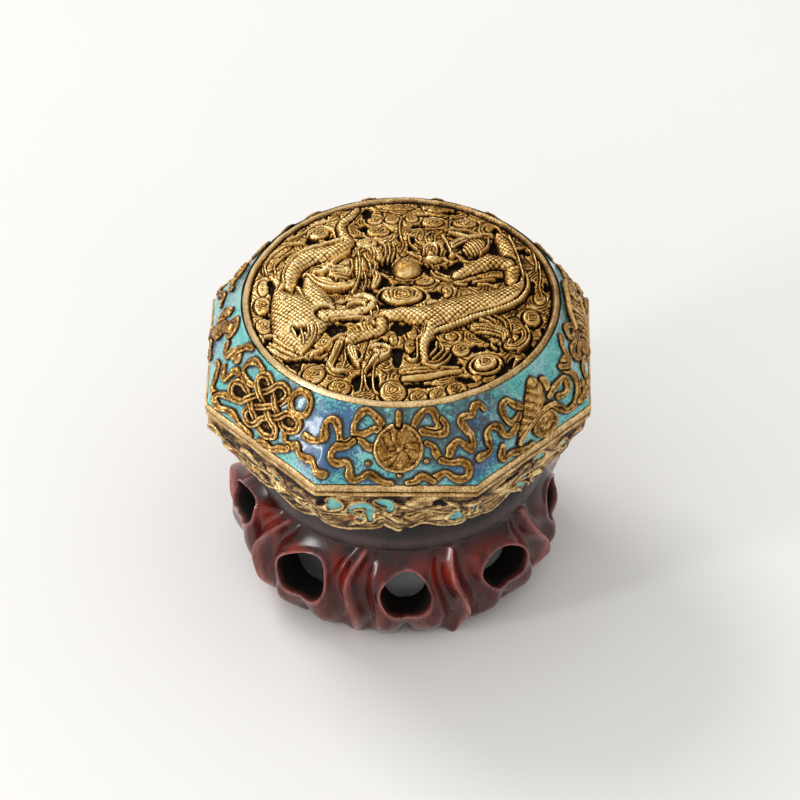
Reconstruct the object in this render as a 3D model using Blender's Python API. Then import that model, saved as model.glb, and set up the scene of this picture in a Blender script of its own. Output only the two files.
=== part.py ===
"""Octagonal cast bronze seal paste box with a lift-off lid, on its carved wooden stand.

The origin is on the ground under the middle of the stand. +Z is up and the front of the box faces -Y.
Azimuths are measured from the front, towards +X, so azimuth 0 is the middle of the front side.
"""
import math

import bmesh
import bpy
import numpy as np
from mathutils import Vector, geometry

MM = 0.001

# Clearances
REST_GAP = 0.3 * MM  # between pieces that rest on each other
SEAT_CLEARANCE = 0.4 * MM  # foot ring of the box inside the seat of the stand
FLANGE_CLEARANCE = 0.35 * MM  # inner flange of the box inside the lid

# Stand
STAND_HEIGHT = 27.7 * MM  # ground to the top of the collar
COLLAR_HEIGHT = 6.2 * MM
COLLAR_INSET = 2.7 * MM  # collar inside the ruffled edge of the box
COLLAR_ROUNDING = 0.8 * MM
SEAT_WALL = 2.4 * MM  # collar's outside to the sunk seat
SEAT_DEPTH = 1.2 * MM
TOP_THICKNESS = 4.0 * MM
SHELL_WALL = 4.2 * MM
NECK_STEP = 1.5 * MM  # top of the shell inside the collar
BELLY_OVERHANG = 2.2 * MM  # belly of the shell outside the collar
FOOT_TUCK = 0.5 * MM  # foot of the shell inside the collar
SHELL_SHIFT = -1.1 * MM  # the carver's shell stands a little off the collar's axis, in X
BELLY_SHARE = 0.62  # height of the belly as a share of the shell
NECK_CURVE = 2.2  # how late the shell draws in above the belly
FOOT_CURVE = 1.8  # how late it draws in below it
HOLE_COUNT = 9
FIRST_HOLE_DEG = 5.0
HOLE_WIDTH = 10.6 * MM
HOLE_HEIGHT = 10.8 * MM
HOLE_CENTRE_SHARE = 0.60  # height of the holes' middles as a share of the shell
HIGH_HOLE = 7  # the far left hole is cut higher than the rest
HIGH_HOLE_MARGIN = 1.4 * MM  # wood left between that hole and the collar
HOLE_RIM = 0.5 * MM
HOLE_RIM_PLACE = 1.15  # where the rim round a hole is proudest, in half widths of the hole
HOLE_RIM_SPREAD = 0.35
CUTTER_REACH = 3.0 * MM  # how far the hole cutters stick out of the wall on both sides
CREST_HEIGHT = 1.2 * MM
CREST_WIDTH_DEG = 4.0
CREST_FADE = 0.5  # how much of a crest is gone at the collar
FOOT_FLARE = 1.0 * MM
FOOT_HALF_DEG = 2.5
FLARE_HALF_DEG = 3.75
FLARE_SHARE = 0.17  # height of the flared feet as a share of the shell
CLEFT_HEIGHT = 3.0 * MM
CLEFT_HALF_DEG = 4.0
LOBE_RISE = 0.3 * MM
NOTCH_RISE = 0.9 * MM
NOTCH_FROM_CREST_DEG = 6.5
NOTCH_WIDTH_DEG = 3.0
EDGE_LIFT_POWER = 6  # how quickly the lower edge's line dies out up the shell

# Box
FLATS_WIDTH = 70.0 * MM  # lid rim, flat to flat from left to right
EXTRA_DEPTH = 1.0 * MM  # how much further out the front and the back stand than the other sides
BODY_HEIGHT = 17.0 * MM  # underside to the top of the lip, without the foot ring
BODY_WALL = 2.6 * MM
BODY_FLOOR = 2.0 * MM
LIP_HEIGHT = 0.9 * MM
LIP_SETBACK = 0.1 * MM  # body lip inside the lid rim
LIP_DEPTH = 0.7 * MM  # how far the lip stands out over the groove under it
SKIRT_TUCK = 4.8 * MM  # the ruffled lower edge inside the lip
SKIRT_RISE = 3.3 * MM  # underside to the mean height of the ruffled edge
SKIRT_THICKNESS = 1.3 * MM
SKIRT_ROUNDNESS = 0.55  # the lower edge between an octagon at 0 and a circle at 1
SKIRT_HOLLOW = 0.3 * MM  # inside of the ruffled edge above its outside
RUFFLE_HEIGHT = 0.55 * MM
RUFFLE_WAVES = [(11, 0.6, 1.0), (17, 2.0, 0.6), (5, 0.0, 0.5)]  # waves round, start and share
TIER_BULGE = 0.9 * MM
TIER_COUNT = 2
PETAL_COUNT = 24
PETAL_TURN = 2.1  # half turns that the petals slip sideways on the way down
PETAL_DEPTH = 0.35  # share of the bulge that comes and goes with the petals
WALL_CURVE = 0.45  # how much of the wall's inward draw is left for its lower half
BODY_LEAN = 1.5 * MM  # how much slimmer the carved wall is low down on the +X side
FOOT_RING_WIDTH = 2.2 * MM
FLANGE_HEIGHT = 1.6 * MM
FLANGE_WALL = 1.3 * MM

# Lid
LID_RIM_HEIGHT = 1.5 * MM
LID_RIM_WIDTH = 0.45 * MM  # ledge between the rim and the sloping panels
LID_SLOPE_HEIGHT = 12.25 * MM
LID_WALL = 1.9 * MM
LID_TOP_THICKNESS = 1.7 * MM
PANEL_BULGE = 0.4 * MM  # how far the panels swell out halfway up
RING_INSET = 5.85 * MM  # ring inside the foot of the panels
RING_SHIFT = 0.4 * MM  # the ring and its medallion sit a little off the middle, in X
RING_WIDTH = 1.6 * MM
RING_HEIGHT = 0.8 * MM
RING_ROUNDING = 0.2 * MM
RING_DISH = 0.1 * MM  # inner edge of the ring below its outer edge
MEDALLION_DEPTH = 1.2 * MM  # floor of the medallion below the top of its ring
MEDALLION_MARGIN = 0.8 * MM  # width over which the carving dies out at the ring
PEARL_RADIUS = 2.7 * MM
EMBLEM_HEIGHT = 0.6 * MM
EMBLEM_MIDDLE = 0.5  # as a share of a panel's height
EMBLEM_HALF_WIDTH = 0.36  # as a share of half of the panel's width
EMBLEM_HALF_HEIGHT = 0.34
RIBBON_SHARE = 0.7  # rise of the ribbons as a share of the emblem's
RIBBON_HALF_WIDTH = 0.17
RIBBON_HALF_HEIGHT = 0.16
RIBBON_PLACES = [(0.5, 0.78), (0.78, 0.42), (0.45, 0.16)]  # across and up, on both sides

# Mesh fineness
SIDES = 8
LID_STEPS = 10  # columns for each side of the octagon
BODY_STEPS = 8
PANEL_ROWS = 6
RELIEF_ROWS = 6
RELIEF_SPACING = 1.86 * MM
SHELL_ROWS = 7
HOLE_FACETS = 14
COLUMN_DEG = [3.0, 6.5, 10.0, 14.0]  # the shell's columns, in degrees from a hole's middle
SHARP_DEG = 40.0

# Widths that follow from the sizes above
LID_APOTHEM = FLATS_WIDTH / 2
PANEL_APOTHEM = LID_APOTHEM - LID_RIM_WIDTH
LID_INNER_APOTHEM = LID_APOTHEM - LID_WALL
BODY_APOTHEM = LID_APOTHEM - LIP_SETBACK
FLANGE_APOTHEM = LID_INNER_APOTHEM - FLANGE_CLEARANCE
RING_RADIUS = PANEL_APOTHEM - RING_INSET
MEDALLION_RADIUS = RING_RADIUS - RING_WIDTH
SKIRT_RADIUS = BODY_APOTHEM - SKIRT_TUCK
COLLAR_RADIUS = SKIRT_RADIUS - COLLAR_INSET
BASE_RADIUS = COLLAR_RADIUS - COLLAR_ROUNDING  # underside of the box, as wide as the collar's top
SEAT_RADIUS = COLLAR_RADIUS - SEAT_WALL
SHELL_NECK_RADIUS = COLLAR_RADIUS - NECK_STEP
SHELL_BELLY_RADIUS = COLLAR_RADIUS + BELLY_OVERHANG
SHELL_FOOT_RADIUS = COLLAR_RADIUS - FOOT_TUCK

# Heights that follow from the sizes above
COLLAR_BOTTOM = STAND_HEIGHT - COLLAR_HEIGHT
SEAT_FLOOR = STAND_HEIGHT - SEAT_DEPTH
CAVITY_TOP = SEAT_FLOOR - TOP_THICKNESS
BODY_BOTTOM = STAND_HEIGHT + REST_GAP
FOOT_RING_BOTTOM = SEAT_FLOOR + REST_GAP
BODY_TOP = BODY_BOTTOM + BODY_HEIGHT
LIP_BOTTOM = BODY_TOP - LIP_HEIGHT
SKIRT_HEIGHT = BODY_BOTTOM + SKIRT_RISE
LID_BOTTOM = BODY_TOP + REST_GAP
LID_RIM_TOP = LID_BOTTOM + LID_RIM_HEIGHT
RING_FOOT = LID_RIM_TOP + LID_SLOPE_HEIGHT
RING_TOP = RING_FOOT + RING_HEIGHT
MEDALLION_FLOOR = RING_TOP - MEDALLION_DEPTH
LID_CEILING = MEDALLION_FLOOR - LID_TOP_THICKNESS

SECTOR_DEG = 360.0 / HOLE_COUNT

# The octagon, from the corners of the lid's rim
HALF_SIDE = LID_APOTHEM * math.tan(math.pi / SIDES)
FRONT_CORNER = math.atan2(HALF_SIDE, LID_APOTHEM + EXTRA_DEPTH)
SIDE_CORNER = math.atan2(LID_APOTHEM, HALF_SIDE)
SLANT = math.atan2(LID_APOTHEM + EXTRA_DEPTH - HALF_SIDE, LID_APOTHEM - HALF_SIDE)
SLANT_EXTRA = HALF_SIDE * math.cos(SLANT) + LID_APOTHEM * math.sin(SLANT) - LID_APOTHEM
HALF_CORNERS = [-FRONT_CORNER, FRONT_CORNER, SIDE_CORNER, math.pi - SIDE_CORNER]
CORNERS = HALF_CORNERS + [c + math.pi for c in HALF_CORNERS] + [2 * math.pi - FRONT_CORNER]
SIDE_NORMALS = [
    (0.0, EXTRA_DEPTH),
    (SLANT, SLANT_EXTRA),
    (math.pi / 2, 0.0),
    (math.pi - SLANT, SLANT_EXTRA),
]  # azimuth and extra distance of half of the sides; the others face them


def octagon_radius(azimuth, apothem, roundness=0.0):
    """Distance from the axis to an octagon's side, blended towards a circle by roundness."""
    straight = min(
        (apothem + extra) / max(abs(math.cos(azimuth - normal)), 0.1)
        for normal, extra in SIDE_NORMALS
    )
    return straight * (1 - roundness) + apothem * roundness


def side_of(azimuth):
    """Number of the octagon's side at an azimuth and the place on it, from -1 to 1."""
    turn = (azimuth + FRONT_CORNER) % (2 * math.pi) - FRONT_CORNER
    for index in range(SIDES):
        start = CORNERS[index]
        end = CORNERS[index + 1]
        if turn < end:
            return index, 2 * (turn - start) / (end - start) - 1
    return 0, -1.0


def point_at(azimuth, radius, height, shift=0.0):
    return Vector((radius * math.sin(azimuth) + shift, -radius * math.cos(azimuth), height))


def material(name, colour, roughness, metallic):
    made = bpy.data.materials.new(name)
    made.use_nodes = True
    shader = made.node_tree.nodes["Principled BSDF"]
    shader.inputs["Base Color"].default_value = (*colour, 1.0)
    shader.inputs["Roughness"].default_value = roughness
    shader.inputs["Metallic"].default_value = metallic
    return made


def add_loop(bm, azimuths, radius_at, height_at, shift=0.0):
    """A closed ring of vertices, one for each azimuth."""
    return [bm.verts.new(point_at(a, radius_at(a), height_at(a), shift)) for a in azimuths]


def join_loops(bm, upper, lower):
    """A band of triangles between two rings, facing out when upper is above lower."""
    count = len(upper)
    for i in range(count):
        j = (i + 1) % count
        bm.faces.new((upper[i], lower[i], lower[j]))
        bm.faces.new((upper[i], lower[j], upper[j]))


def join_all(bm, loops):
    for upper, lower in zip(loops, loops[1:]):
        join_loops(bm, upper, lower)


def to_object(bm, name, look):
    bmesh.ops.triangulate(bm, faces=[f for f in bm.faces if len(f.verts) > 4])
    bmesh.ops.recalc_face_normals(bm, faces=bm.faces[:])
    mesh = bpy.data.meshes.new(name)
    bm.to_mesh(mesh)
    bm.free()
    mesh.shade_smooth()
    mesh.set_sharp_from_angle(angle=math.radians(SHARP_DEG))
    mesh.materials.append(look)
    made = bpy.data.objects.new(name, mesh)
    bpy.context.scene.collection.objects.link(made)
    return made


def side_azimuths(steps):
    """Azimuths in even steps along each side, with one at every corner of the octagon."""
    return [
        start + (end - start) * k / steps
        for start, end in zip(CORNERS, CORNERS[1:])
        for k in range(steps)
    ]


def smooth_step(value):
    value = min(max(value, 0.0), 1.0)
    return value * value * (3 - 2 * value)


def catmull_rom(points, steps):
    """Points along a smooth curve through the given ones, each of any number of values."""
    rows = np.array([points[0], *points, points[-1]], float)
    track = []
    for i in range(1, len(rows) - 2):
        before, start, end, after = rows[i - 1 : i + 3]
        for k in range(steps):
            t = k / steps
            track.append(
                0.5
                * (
                    2 * start
                    + (end - before) * t
                    + (2 * before - 5 * start + 4 * end - after) * t * t
                    + (3 * start - before - 3 * end + after) * t**3
                )
            )
    track.append(rows[-2])
    return np.array(track)


def tube_height(x, y, track):
    """Height over the floor of a round-backed body that follows rows of x, y, half width and rise."""
    away = np.hypot(track[:, 0] - x, track[:, 1] - y) / track[:, 2]
    nearest = int(np.argmin(away))
    if away[nearest] >= 1:
        return 0.0
    return track[nearest, 3] * math.sqrt(1 - away[nearest] ** 2)


# The carving of the medallion, in millimetres from its middle, as x, y, half width and rise
DRAGON_TRACKS = [
    # the left dragon: tail, arched back, belly and the foreleg under it
    [(-8, 24.5, 0.7, 1.2), (-11, 21, 1.2, 1.4), (-11.5, 16.5, 1.8, 1.6), (-16, 12.5, 2.4, 1.8),
     (-20.5, 7, 2.6, 1.9), (-20.5, 0, 3.2, 2.0), (-18, -6, 4.2, 2.2), (-18, -12.5, 2.2, 1.6)],
    [(-17, -3, 3.0, 2.1), (-15.5, 1.5, 2.2, 2.1), (-15, 5.5, 2.2, 2.2), (-10.5, 7, 3.6, 2.4),
     (-6.5, 9, 2.6, 2.2)],
    [(-17, -4, 3.0, 1.9), (-11.5, -4, 2.2, 1.7), (-6.5, -5.5, 1.6, 1.5)],
    # the right dragon: loins, arched back, neck and head
    [(-4, -7, 1.6, 1.6), (-2, -5.2, 1.9, 1.9), (4, -5, 2.4, 2.0), (11, -3, 3.0, 2.2),
     (18, -0.5, 2.9, 2.2), (21.2, 4, 2.2, 2.1), (20.8, 10, 1.9, 2.0), (18, 14.5, 1.8, 1.9),
     (15.5, 10.5, 2.3, 2.0), (10.5, 6.5, 1.7, 1.8)],
    [(4.5, -7, 2.0, 1.9), (4.4, -12, 1.6, 1.7), (4, -17, 1.2, 1.5)],
    [(-3, -7, 1.4, 1.7), (-4.5, -10.5, 1.5, 1.6), (-9.5, -12.5, 1.7, 1.7), (-11.5, -19, 1.9, 1.5)],
    [(-2, -15.2, 1.6, 1.5), (-4.8, -18, 1.4, 1.5), (-6, -24, 1.4, 1.2)],
    [(15, 14.5, 2.2, 1.8), (7, 13.5, 2.8, 2.3), (5, 10.5, 2.0, 2.0)],
    [(1, -21.3, 1.0, 1.2), (6, -20.6, 1.0, 1.3), (11, -19.5, 0.9, 1.2)],
]

# Cloud discs, in millimetres from the middle of the medallion: x, y, half width, half depth and rise
CLOUD_DISCS = [
    (0.2, 0.0, 4.2, 2.5, 1.7), (15.5, -17.8, 3.6, 3.0, 1.6), (23.8, -5.5, 2.0, 2.5, 1.5),
    (-15.2, -20.5, 2.2, 2.8, 1.2), (-10.5, -24.0, 2.2, 2.2, 1.2), (-1.0, -25.0, 2.4, 2.2, 1.2),
    (3.6, -25.6, 1.7, 1.7, 1.0), (10.3, -24.0, 2.1, 2.0, 1.3), (11.0, -14.0, 1.9, 1.9, 1.4),
    (-25.0, -2.0, 1.8, 2.6, 1.2), (5.5, 21.3, 2.2, 1.4, 1.4), (11.5, 21.3, 2.3, 1.4, 1.4),
    (-15.5, 18.0, 2.2, 1.9, 1.5), (-4.5, 18.5, 2.4, 1.7, 1.5), (16.5, -8.5, 2.6, 2.4, 1.5),
    (21.5, -12.0, 2.0, 2.6, 1.4), (-22.0, 11.5, 2.4, 2.4, 1.4), (24.5, 6.0, 1.4, 2.6, 1.1),
]
PEARL_PLACE = (1.0, 7.6)
CARVED_FOR_RADIUS = 29.05 * MM  # ring radius that these places are drawn for
MEDALLION_SCALE = MM * RING_RADIUS / CARVED_FOR_RADIUS


def medallion_height(x, y, tracks):
    """Rise of the carving over the medallion's floor, in metres."""
    u = x / MEDALLION_SCALE
    v = y / MEDALLION_SCALE
    rise = max(tube_height(u, v, track) for track in tracks)
    for cx, cy, half_width, half_depth, height in CLOUD_DISCS:
        away = math.hypot((u - cx) / half_width, (v - cy) / half_depth)
        rise = max(rise, height * smooth_step(2.2 * (1 - away)))
    rise *= MM
    px, py = (c * MEDALLION_SCALE for c in PEARL_PLACE)
    from_pearl = math.hypot(x - px, y - py)
    if from_pearl < PEARL_RADIUS:
        rise = max(rise, math.sqrt(PEARL_RADIUS**2 - from_pearl**2))
    edge = smooth_step((MEDALLION_RADIUS - math.hypot(x, y)) / MEDALLION_MARGIN)
    return rise * edge


def panel_relief(across, up):
    """Rise of a panel's emblem and its ribbons over the enamel. across and up are shares of
    the panel's half width and of its height."""

    def mound(a, u, half_width, half_height):
        return smooth_step(2 * (1 - math.hypot((across - a) / half_width, (up - u) / half_height)))

    emblem = mound(0.0, EMBLEM_MIDDLE, EMBLEM_HALF_WIDTH, EMBLEM_HALF_HEIGHT)
    ribbons = max(
        mound(side * a, u, RIBBON_HALF_WIDTH, RIBBON_HALF_HEIGHT)
        for a, u in RIBBON_PLACES
        for side in (-1, 1)
    )
    return EMBLEM_HEIGHT * max(emblem, RIBBON_SHARE * ribbons)


def panel_radius(azimuth, up):
    """Outside of the sloping panels. up is 0 at the rim and 1 at the ring."""
    bottom = octagon_radius(azimuth, PANEL_APOTHEM)
    radius = bottom + (RING_RADIUS - bottom) * up + PANEL_BULGE * math.sin(math.pi * up)
    _, across = side_of(azimuth)
    return radius + panel_relief(across, up)


def medallion_faces(bm, border):
    """The carved floor inside the ring, as a triangle net that meets the border's vertices."""
    tracks = [catmull_rom(points, 6) for points in DRAGON_TRACKS]
    flat = [Vector((v.co.x - RING_SHIFT, v.co.y)) for v in border]
    row_step = RELIEF_SPACING * math.sqrt(3) / 2
    limit = MEDALLION_RADIUS - 0.7 * RELIEF_SPACING
    rows = int(limit / row_step)
    for row in range(-rows, rows + 1):
        y = row * row_step
        shift = RELIEF_SPACING / 2 if row % 2 else 0.0
        columns = int(2 * limit / RELIEF_SPACING) + 2
        for column in range(-columns, columns + 1):
            x = column * RELIEF_SPACING + shift
            if math.hypot(x, y) < limit:
                flat.append(Vector((x, y)))
    edges = [(i, (i + 1) % len(border)) for i in range(len(border))]
    points, _, faces, *_ = geometry.delaunay_2d_cdt(flat, edges, [], 1, 1e-7)
    known = {(round(p.x, 6), round(p.y, 6)): v for p, v in zip(flat, border)}
    verts = []
    for p in points:
        key = (round(p.x, 6), round(p.y, 6))
        if key not in known:
            height = MEDALLION_FLOOR + medallion_height(p.x, p.y, tracks)
            known[key] = bm.verts.new((p.x + RING_SHIFT, p.y, height))
        verts.append(known[key])
    for face in faces:
        bm.faces.new([verts[i] for i in face])


def make_lid(look):
    """The hollow lid: straight rim, eight sloping panels, ring and carved medallion."""
    bm = bmesh.new()
    azimuths = side_azimuths(LID_STEPS)

    def octagon(apothem, height):
        return add_loop(bm, azimuths, lambda a: octagon_radius(a, apothem), lambda a: height)

    def circle(radius, height):
        return add_loop(bm, azimuths, lambda a: radius, lambda a: height, RING_SHIFT)

    def panels(up):
        height = LID_RIM_TOP + LID_SLOPE_HEIGHT * up
        shift = RING_SHIFT * up
        return add_loop(bm, azimuths, lambda a: panel_radius(a, up), lambda a: height, shift)

    border = circle(MEDALLION_RADIUS, MEDALLION_FLOOR)
    inner_knee = LID_BOTTOM + FLANGE_HEIGHT + LID_RIM_WIDTH
    outer = [
        border,
        circle(MEDALLION_RADIUS, RING_TOP - RING_DISH),
        circle(RING_RADIUS - RING_ROUNDING, RING_TOP),
        *[panels(row / PANEL_ROWS) for row in range(PANEL_ROWS, -1, -1)],
        octagon(LID_APOTHEM, LID_RIM_TOP),
        octagon(LID_APOTHEM, LID_BOTTOM),
        octagon(LID_INNER_APOTHEM, LID_BOTTOM),
        octagon(LID_INNER_APOTHEM, inner_knee),
        circle(RING_RADIUS - LID_WALL, LID_CEILING),
    ]
    join_all(bm, outer)
    bm.faces.new(outer[-1])
    medallion_faces(bm, border)
    return to_object(bm, "lid", look)


def body_outline(azimuth, down):
    """Outside of the carved wall of the box. down is 0 under the lip and 1 at the ruffled edge."""
    top = octagon_radius(azimuth, BODY_APOTHEM - LIP_DEPTH)
    bottom = octagon_radius(azimuth, SKIRT_RADIUS, SKIRT_ROUNDNESS)
    inward = (1 - WALL_CURVE) * down + WALL_CURVE * down**2
    tier = abs(math.sin(math.pi * TIER_COUNT * down))
    slip = PETAL_TURN * math.pi * down
    petals = 1 - PETAL_DEPTH + PETAL_DEPTH * math.cos(PETAL_COUNT * azimuth + slip)
    lean = BODY_LEAN * math.sqrt(down) * (1 + math.sin(azimuth)) / 2
    return top + (bottom - top) * inward + TIER_BULGE * tier * petals - lean


def skirt_edge(azimuth):
    """Height of the ruffled lower edge, with waves that don't repeat from side to side."""
    waves = sum(share * math.sin(count * azimuth + start) for count, start, share in RUFFLE_WAVES)
    return SKIRT_HEIGHT + RUFFLE_HEIGHT * waves


def make_box_body(look):
    """The open box: inner flange, lip, carved wall, ruffled skirt, underside and foot ring."""
    bm = bmesh.new()
    azimuths = side_azimuths(BODY_STEPS)

    def octagon(apothem, height, roundness=0.0):
        return add_loop(
            bm, azimuths, lambda a: octagon_radius(a, apothem, roundness), lambda a: height
        )

    def circle(radius, height):
        return octagon(radius, height, 1.0)

    wall_loops = []
    for row in range(RELIEF_ROWS + 1):
        down = row / RELIEF_ROWS
        wall_loops.append(
            add_loop(
                bm,
                azimuths,
                lambda a: body_outline(a, down),
                lambda a: LIP_BOTTOM + (skirt_edge(a) - LIP_BOTTOM) * down,
            )
        )
    skirt_inside = add_loop(
        bm,
        azimuths,
        lambda a: body_outline(a, 1.0) - SKIRT_THICKNESS,
        lambda a: skirt_edge(a) + SKIRT_HOLLOW,
    )
    flange_inner = FLANGE_APOTHEM - FLANGE_WALL
    foot_outer = SEAT_RADIUS - SEAT_CLEARANCE
    foot_inner = foot_outer - FOOT_RING_WIDTH
    floor = BODY_BOTTOM + BODY_FLOOR
    loops = [
        circle(BASE_RADIUS - BODY_WALL, floor),
        octagon(SKIRT_RADIUS - BODY_WALL, SKIRT_HEIGHT + BODY_FLOOR, SKIRT_ROUNDNESS),
        octagon(flange_inner, LIP_BOTTOM),
        octagon(flange_inner, BODY_TOP + FLANGE_HEIGHT),
        octagon(FLANGE_APOTHEM, BODY_TOP + FLANGE_HEIGHT),
        octagon(FLANGE_APOTHEM, BODY_TOP),
        octagon(BODY_APOTHEM, BODY_TOP),
        octagon(BODY_APOTHEM, LIP_BOTTOM),
        *wall_loops,
        skirt_inside,
        circle(BASE_RADIUS, BODY_BOTTOM),
        circle(foot_outer, BODY_BOTTOM),
        circle(foot_outer, FOOT_RING_BOTTOM),
        circle(foot_inner, FOOT_RING_BOTTOM),
        circle(foot_inner, BODY_BOTTOM),
    ]
    join_all(bm, loops)
    bm.faces.new(loops[0])
    bm.faces.new(loops[-1])
    return to_object(bm, "box_body", look)


def from_hole(azimuth):
    """Degrees from the nearest hole's middle, and the number of that hole."""
    degrees = (math.degrees(azimuth) - FIRST_HOLE_DEG) % 360.0
    index = round(degrees / SECTOR_DEG)
    return degrees - SECTOR_DEG * index, index % HOLE_COUNT


def hole_middle(index):
    """Height of a hole's middle."""
    if index == HIGH_HOLE:
        return COLLAR_BOTTOM - HIGH_HOLE_MARGIN - HOLE_HEIGHT / 2
    return COLLAR_BOTTOM * HOLE_CENTRE_SHARE


def shell_profile(share):
    """Plain radius of the stand's shell at a share of its height."""
    if share > BELLY_SHARE:
        along = (share - BELLY_SHARE) / (1 - BELLY_SHARE)
        return SHELL_BELLY_RADIUS + (SHELL_NECK_RADIUS - SHELL_BELLY_RADIUS) * along**NECK_CURVE
    along = 1 - share / BELLY_SHARE
    return SHELL_BELLY_RADIUS + (SHELL_FOOT_RADIUS - SHELL_BELLY_RADIUS) * along**FOOT_CURVE


def shell_radius(azimuth, share):
    """Outside of the carved shell: a sharp crest between the holes and a soft rim round each."""
    to_middle, index = from_hole(azimuth)
    to_crest = SECTOR_DEG / 2 - abs(to_middle)
    crest = math.exp(-to_crest / CREST_WIDTH_DEG) * (1 - CREST_FADE * share**3)
    sideways = math.radians(to_middle) * SHELL_BELLY_RADIUS / (HOLE_WIDTH / 2)
    upwards = (share * COLLAR_BOTTOM - hole_middle(index)) / (HOLE_HEIGHT / 2)
    from_rim = math.hypot(sideways, upwards) - HOLE_RIM_PLACE
    ring = math.exp(-((from_rim / HOLE_RIM_SPREAD) ** 2))
    flare = FOOT_FLARE * math.exp(-to_crest / FLARE_HALF_DEG) * smooth_step(1 - share / FLARE_SHARE)
    return shell_profile(share) + CREST_HEIGHT * crest + HOLE_RIM * ring + flare


def foot_line(azimuth):
    """Height of the shell's lower edge: flat feet under the crests, a cleft under each hole."""
    to_middle = abs(from_hole(azimuth)[0])
    to_crest = SECTOR_DEG / 2 - to_middle
    if to_crest <= FOOT_HALF_DEG + 0.01:
        return 0.0
    cleft = CLEFT_HEIGHT * smooth_step(1 - to_middle / CLEFT_HALF_DEG)
    from_notch = (to_crest - NOTCH_FROM_CREST_DEG) / NOTCH_WIDTH_DEG
    return LOBE_RISE + cleft + NOTCH_RISE * math.exp(-(from_notch**2))


def stand_azimuths():
    """Columns of the shell: one at each hole's middle, each crest and each side of a foot."""
    half = SECTOR_DEG / 2
    steps = [0.0, *COLUMN_DEG, half - FOOT_HALF_DEG, half]
    offsets = [-s for s in reversed(steps[1:-1])] + steps
    return [
        math.radians(FIRST_HOLE_DEG + SECTOR_DEG * k + offset)
        for k in range(HOLE_COUNT)
        for offset in offsets
    ]


def hole_cutter(index):
    """An oval rod through the shell's wall, a guide that isn't part of the model."""
    azimuth = math.radians(FIRST_HOLE_DEG + SECTOR_DEG * index)
    bm = bmesh.new()
    ends = []
    inside = SHELL_FOOT_RADIUS - SHELL_WALL - CUTTER_REACH
    outside = SHELL_BELLY_RADIUS + CREST_HEIGHT + CUTTER_REACH
    for radius in (inside, outside):
        middle = point_at(azimuth, radius, hole_middle(index), SHELL_SHIFT)
        sideways = Vector((math.cos(azimuth), math.sin(azimuth), 0.0))
        ring = []
        for k in range(HOLE_FACETS):
            turn = 2 * math.pi * k / HOLE_FACETS
            across = sideways * (HOLE_WIDTH / 2 * math.cos(turn))
            upward = Vector((0.0, 0.0, HOLE_HEIGHT / 2 * math.sin(turn)))
            ring.append(bm.verts.new(middle + across + upward))
        ends.append(ring)
    inner, outer = ends
    for k in range(HOLE_FACETS):
        j = (k + 1) % HOLE_FACETS
        bm.faces.new((inner[k], inner[j], outer[j], outer[k]))
    bm.faces.new(inner)
    bm.faces.new(outer)
    bmesh.ops.recalc_face_normals(bm, faces=bm.faces[:])
    mesh = bpy.data.meshes.new("hole_cutter")
    bm.to_mesh(mesh)
    bm.free()
    cutter = bpy.data.objects.new(f"hole_cutter_{index}", mesh)
    cutter.hide_render = True
    cutter.display_type = "WIRE"
    bpy.context.scene.collection.objects.link(cutter)
    return cutter


def make_stand(look):
    """The wooden stand: collar with a sunk seat, pierced shell, curled feet, hollow below."""
    bm = bmesh.new()
    azimuths = stand_azimuths()

    def circle(radius, height):
        return add_loop(bm, azimuths, lambda a: radius, lambda a: height)

    collar_edge = COLLAR_RADIUS - COLLAR_ROUNDING
    loops = [
        circle(SEAT_RADIUS, SEAT_FLOOR),
        circle(SEAT_RADIUS, STAND_HEIGHT),
        circle(collar_edge, STAND_HEIGHT),
        circle(COLLAR_RADIUS, STAND_HEIGHT - COLLAR_HEIGHT / 2),
        circle(collar_edge, COLLAR_BOTTOM),
    ]
    for row in range(SHELL_ROWS, -1, -1):
        share = row / SHELL_ROWS
        height = COLLAR_BOTTOM * share
        if row == SHELL_ROWS:
            loops.append(circle(SHELL_NECK_RADIUS, COLLAR_BOTTOM))
            continue
        lift = (1 - share) ** EDGE_LIFT_POWER
        loops.append(
            add_loop(
                bm,
                azimuths,
                lambda a: shell_radius(a, share),
                lambda a: height + lift * foot_line(a),
                SHELL_SHIFT * (1 - share**4),
            )
        )
    inside_foot = SHELL_FOOT_RADIUS - SHELL_WALL
    loops.append(add_loop(bm, azimuths, lambda a: inside_foot, foot_line, SHELL_SHIFT))
    inside_belly = SHELL_BELLY_RADIUS - SHELL_WALL
    belly_height = COLLAR_BOTTOM * BELLY_SHARE
    loops.append(
        add_loop(bm, azimuths, lambda a: inside_belly, lambda a: belly_height, SHELL_SHIFT)
    )
    loops.append(circle(SHELL_NECK_RADIUS - SHELL_WALL, CAVITY_TOP))
    join_all(bm, loops)
    bm.faces.new(loops[0])
    bm.faces.new(loops[-1])
    stand = to_object(bm, "stand", look)
    for index in range(HOLE_COUNT):
        cut = stand.modifiers.new(f"hole_{index}", "BOOLEAN")
        cut.operation = "DIFFERENCE"
        cut.object = hole_cutter(index)
    return stand


def main():
    for old in list(bpy.data.objects):
        bpy.data.objects.remove(old, do_unlink=True)
    enamelled = material("enamelled_bronze", (0.42, 0.33, 0.14), 0.38, 0.9)
    gilt = material("gilt_bronze", (0.52, 0.36, 0.13), 0.34, 1.0)
    wood = material("dark_wood", (0.13, 0.02, 0.015), 0.28, 0.0)
    make_lid(enamelled)
    make_box_body(gilt)
    make_stand(wood)


main()
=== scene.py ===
"""Studio view of an octagonal seal paste box, gilt bronze and enamel, on its carved wooden stand.

Sizes are in millimetres until they reach a mesh. Azimuths are measured from the front (-Y) towards +X.
"""
import math

import bpy
import numpy as np
from mathutils import Matrix, Vector


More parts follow.
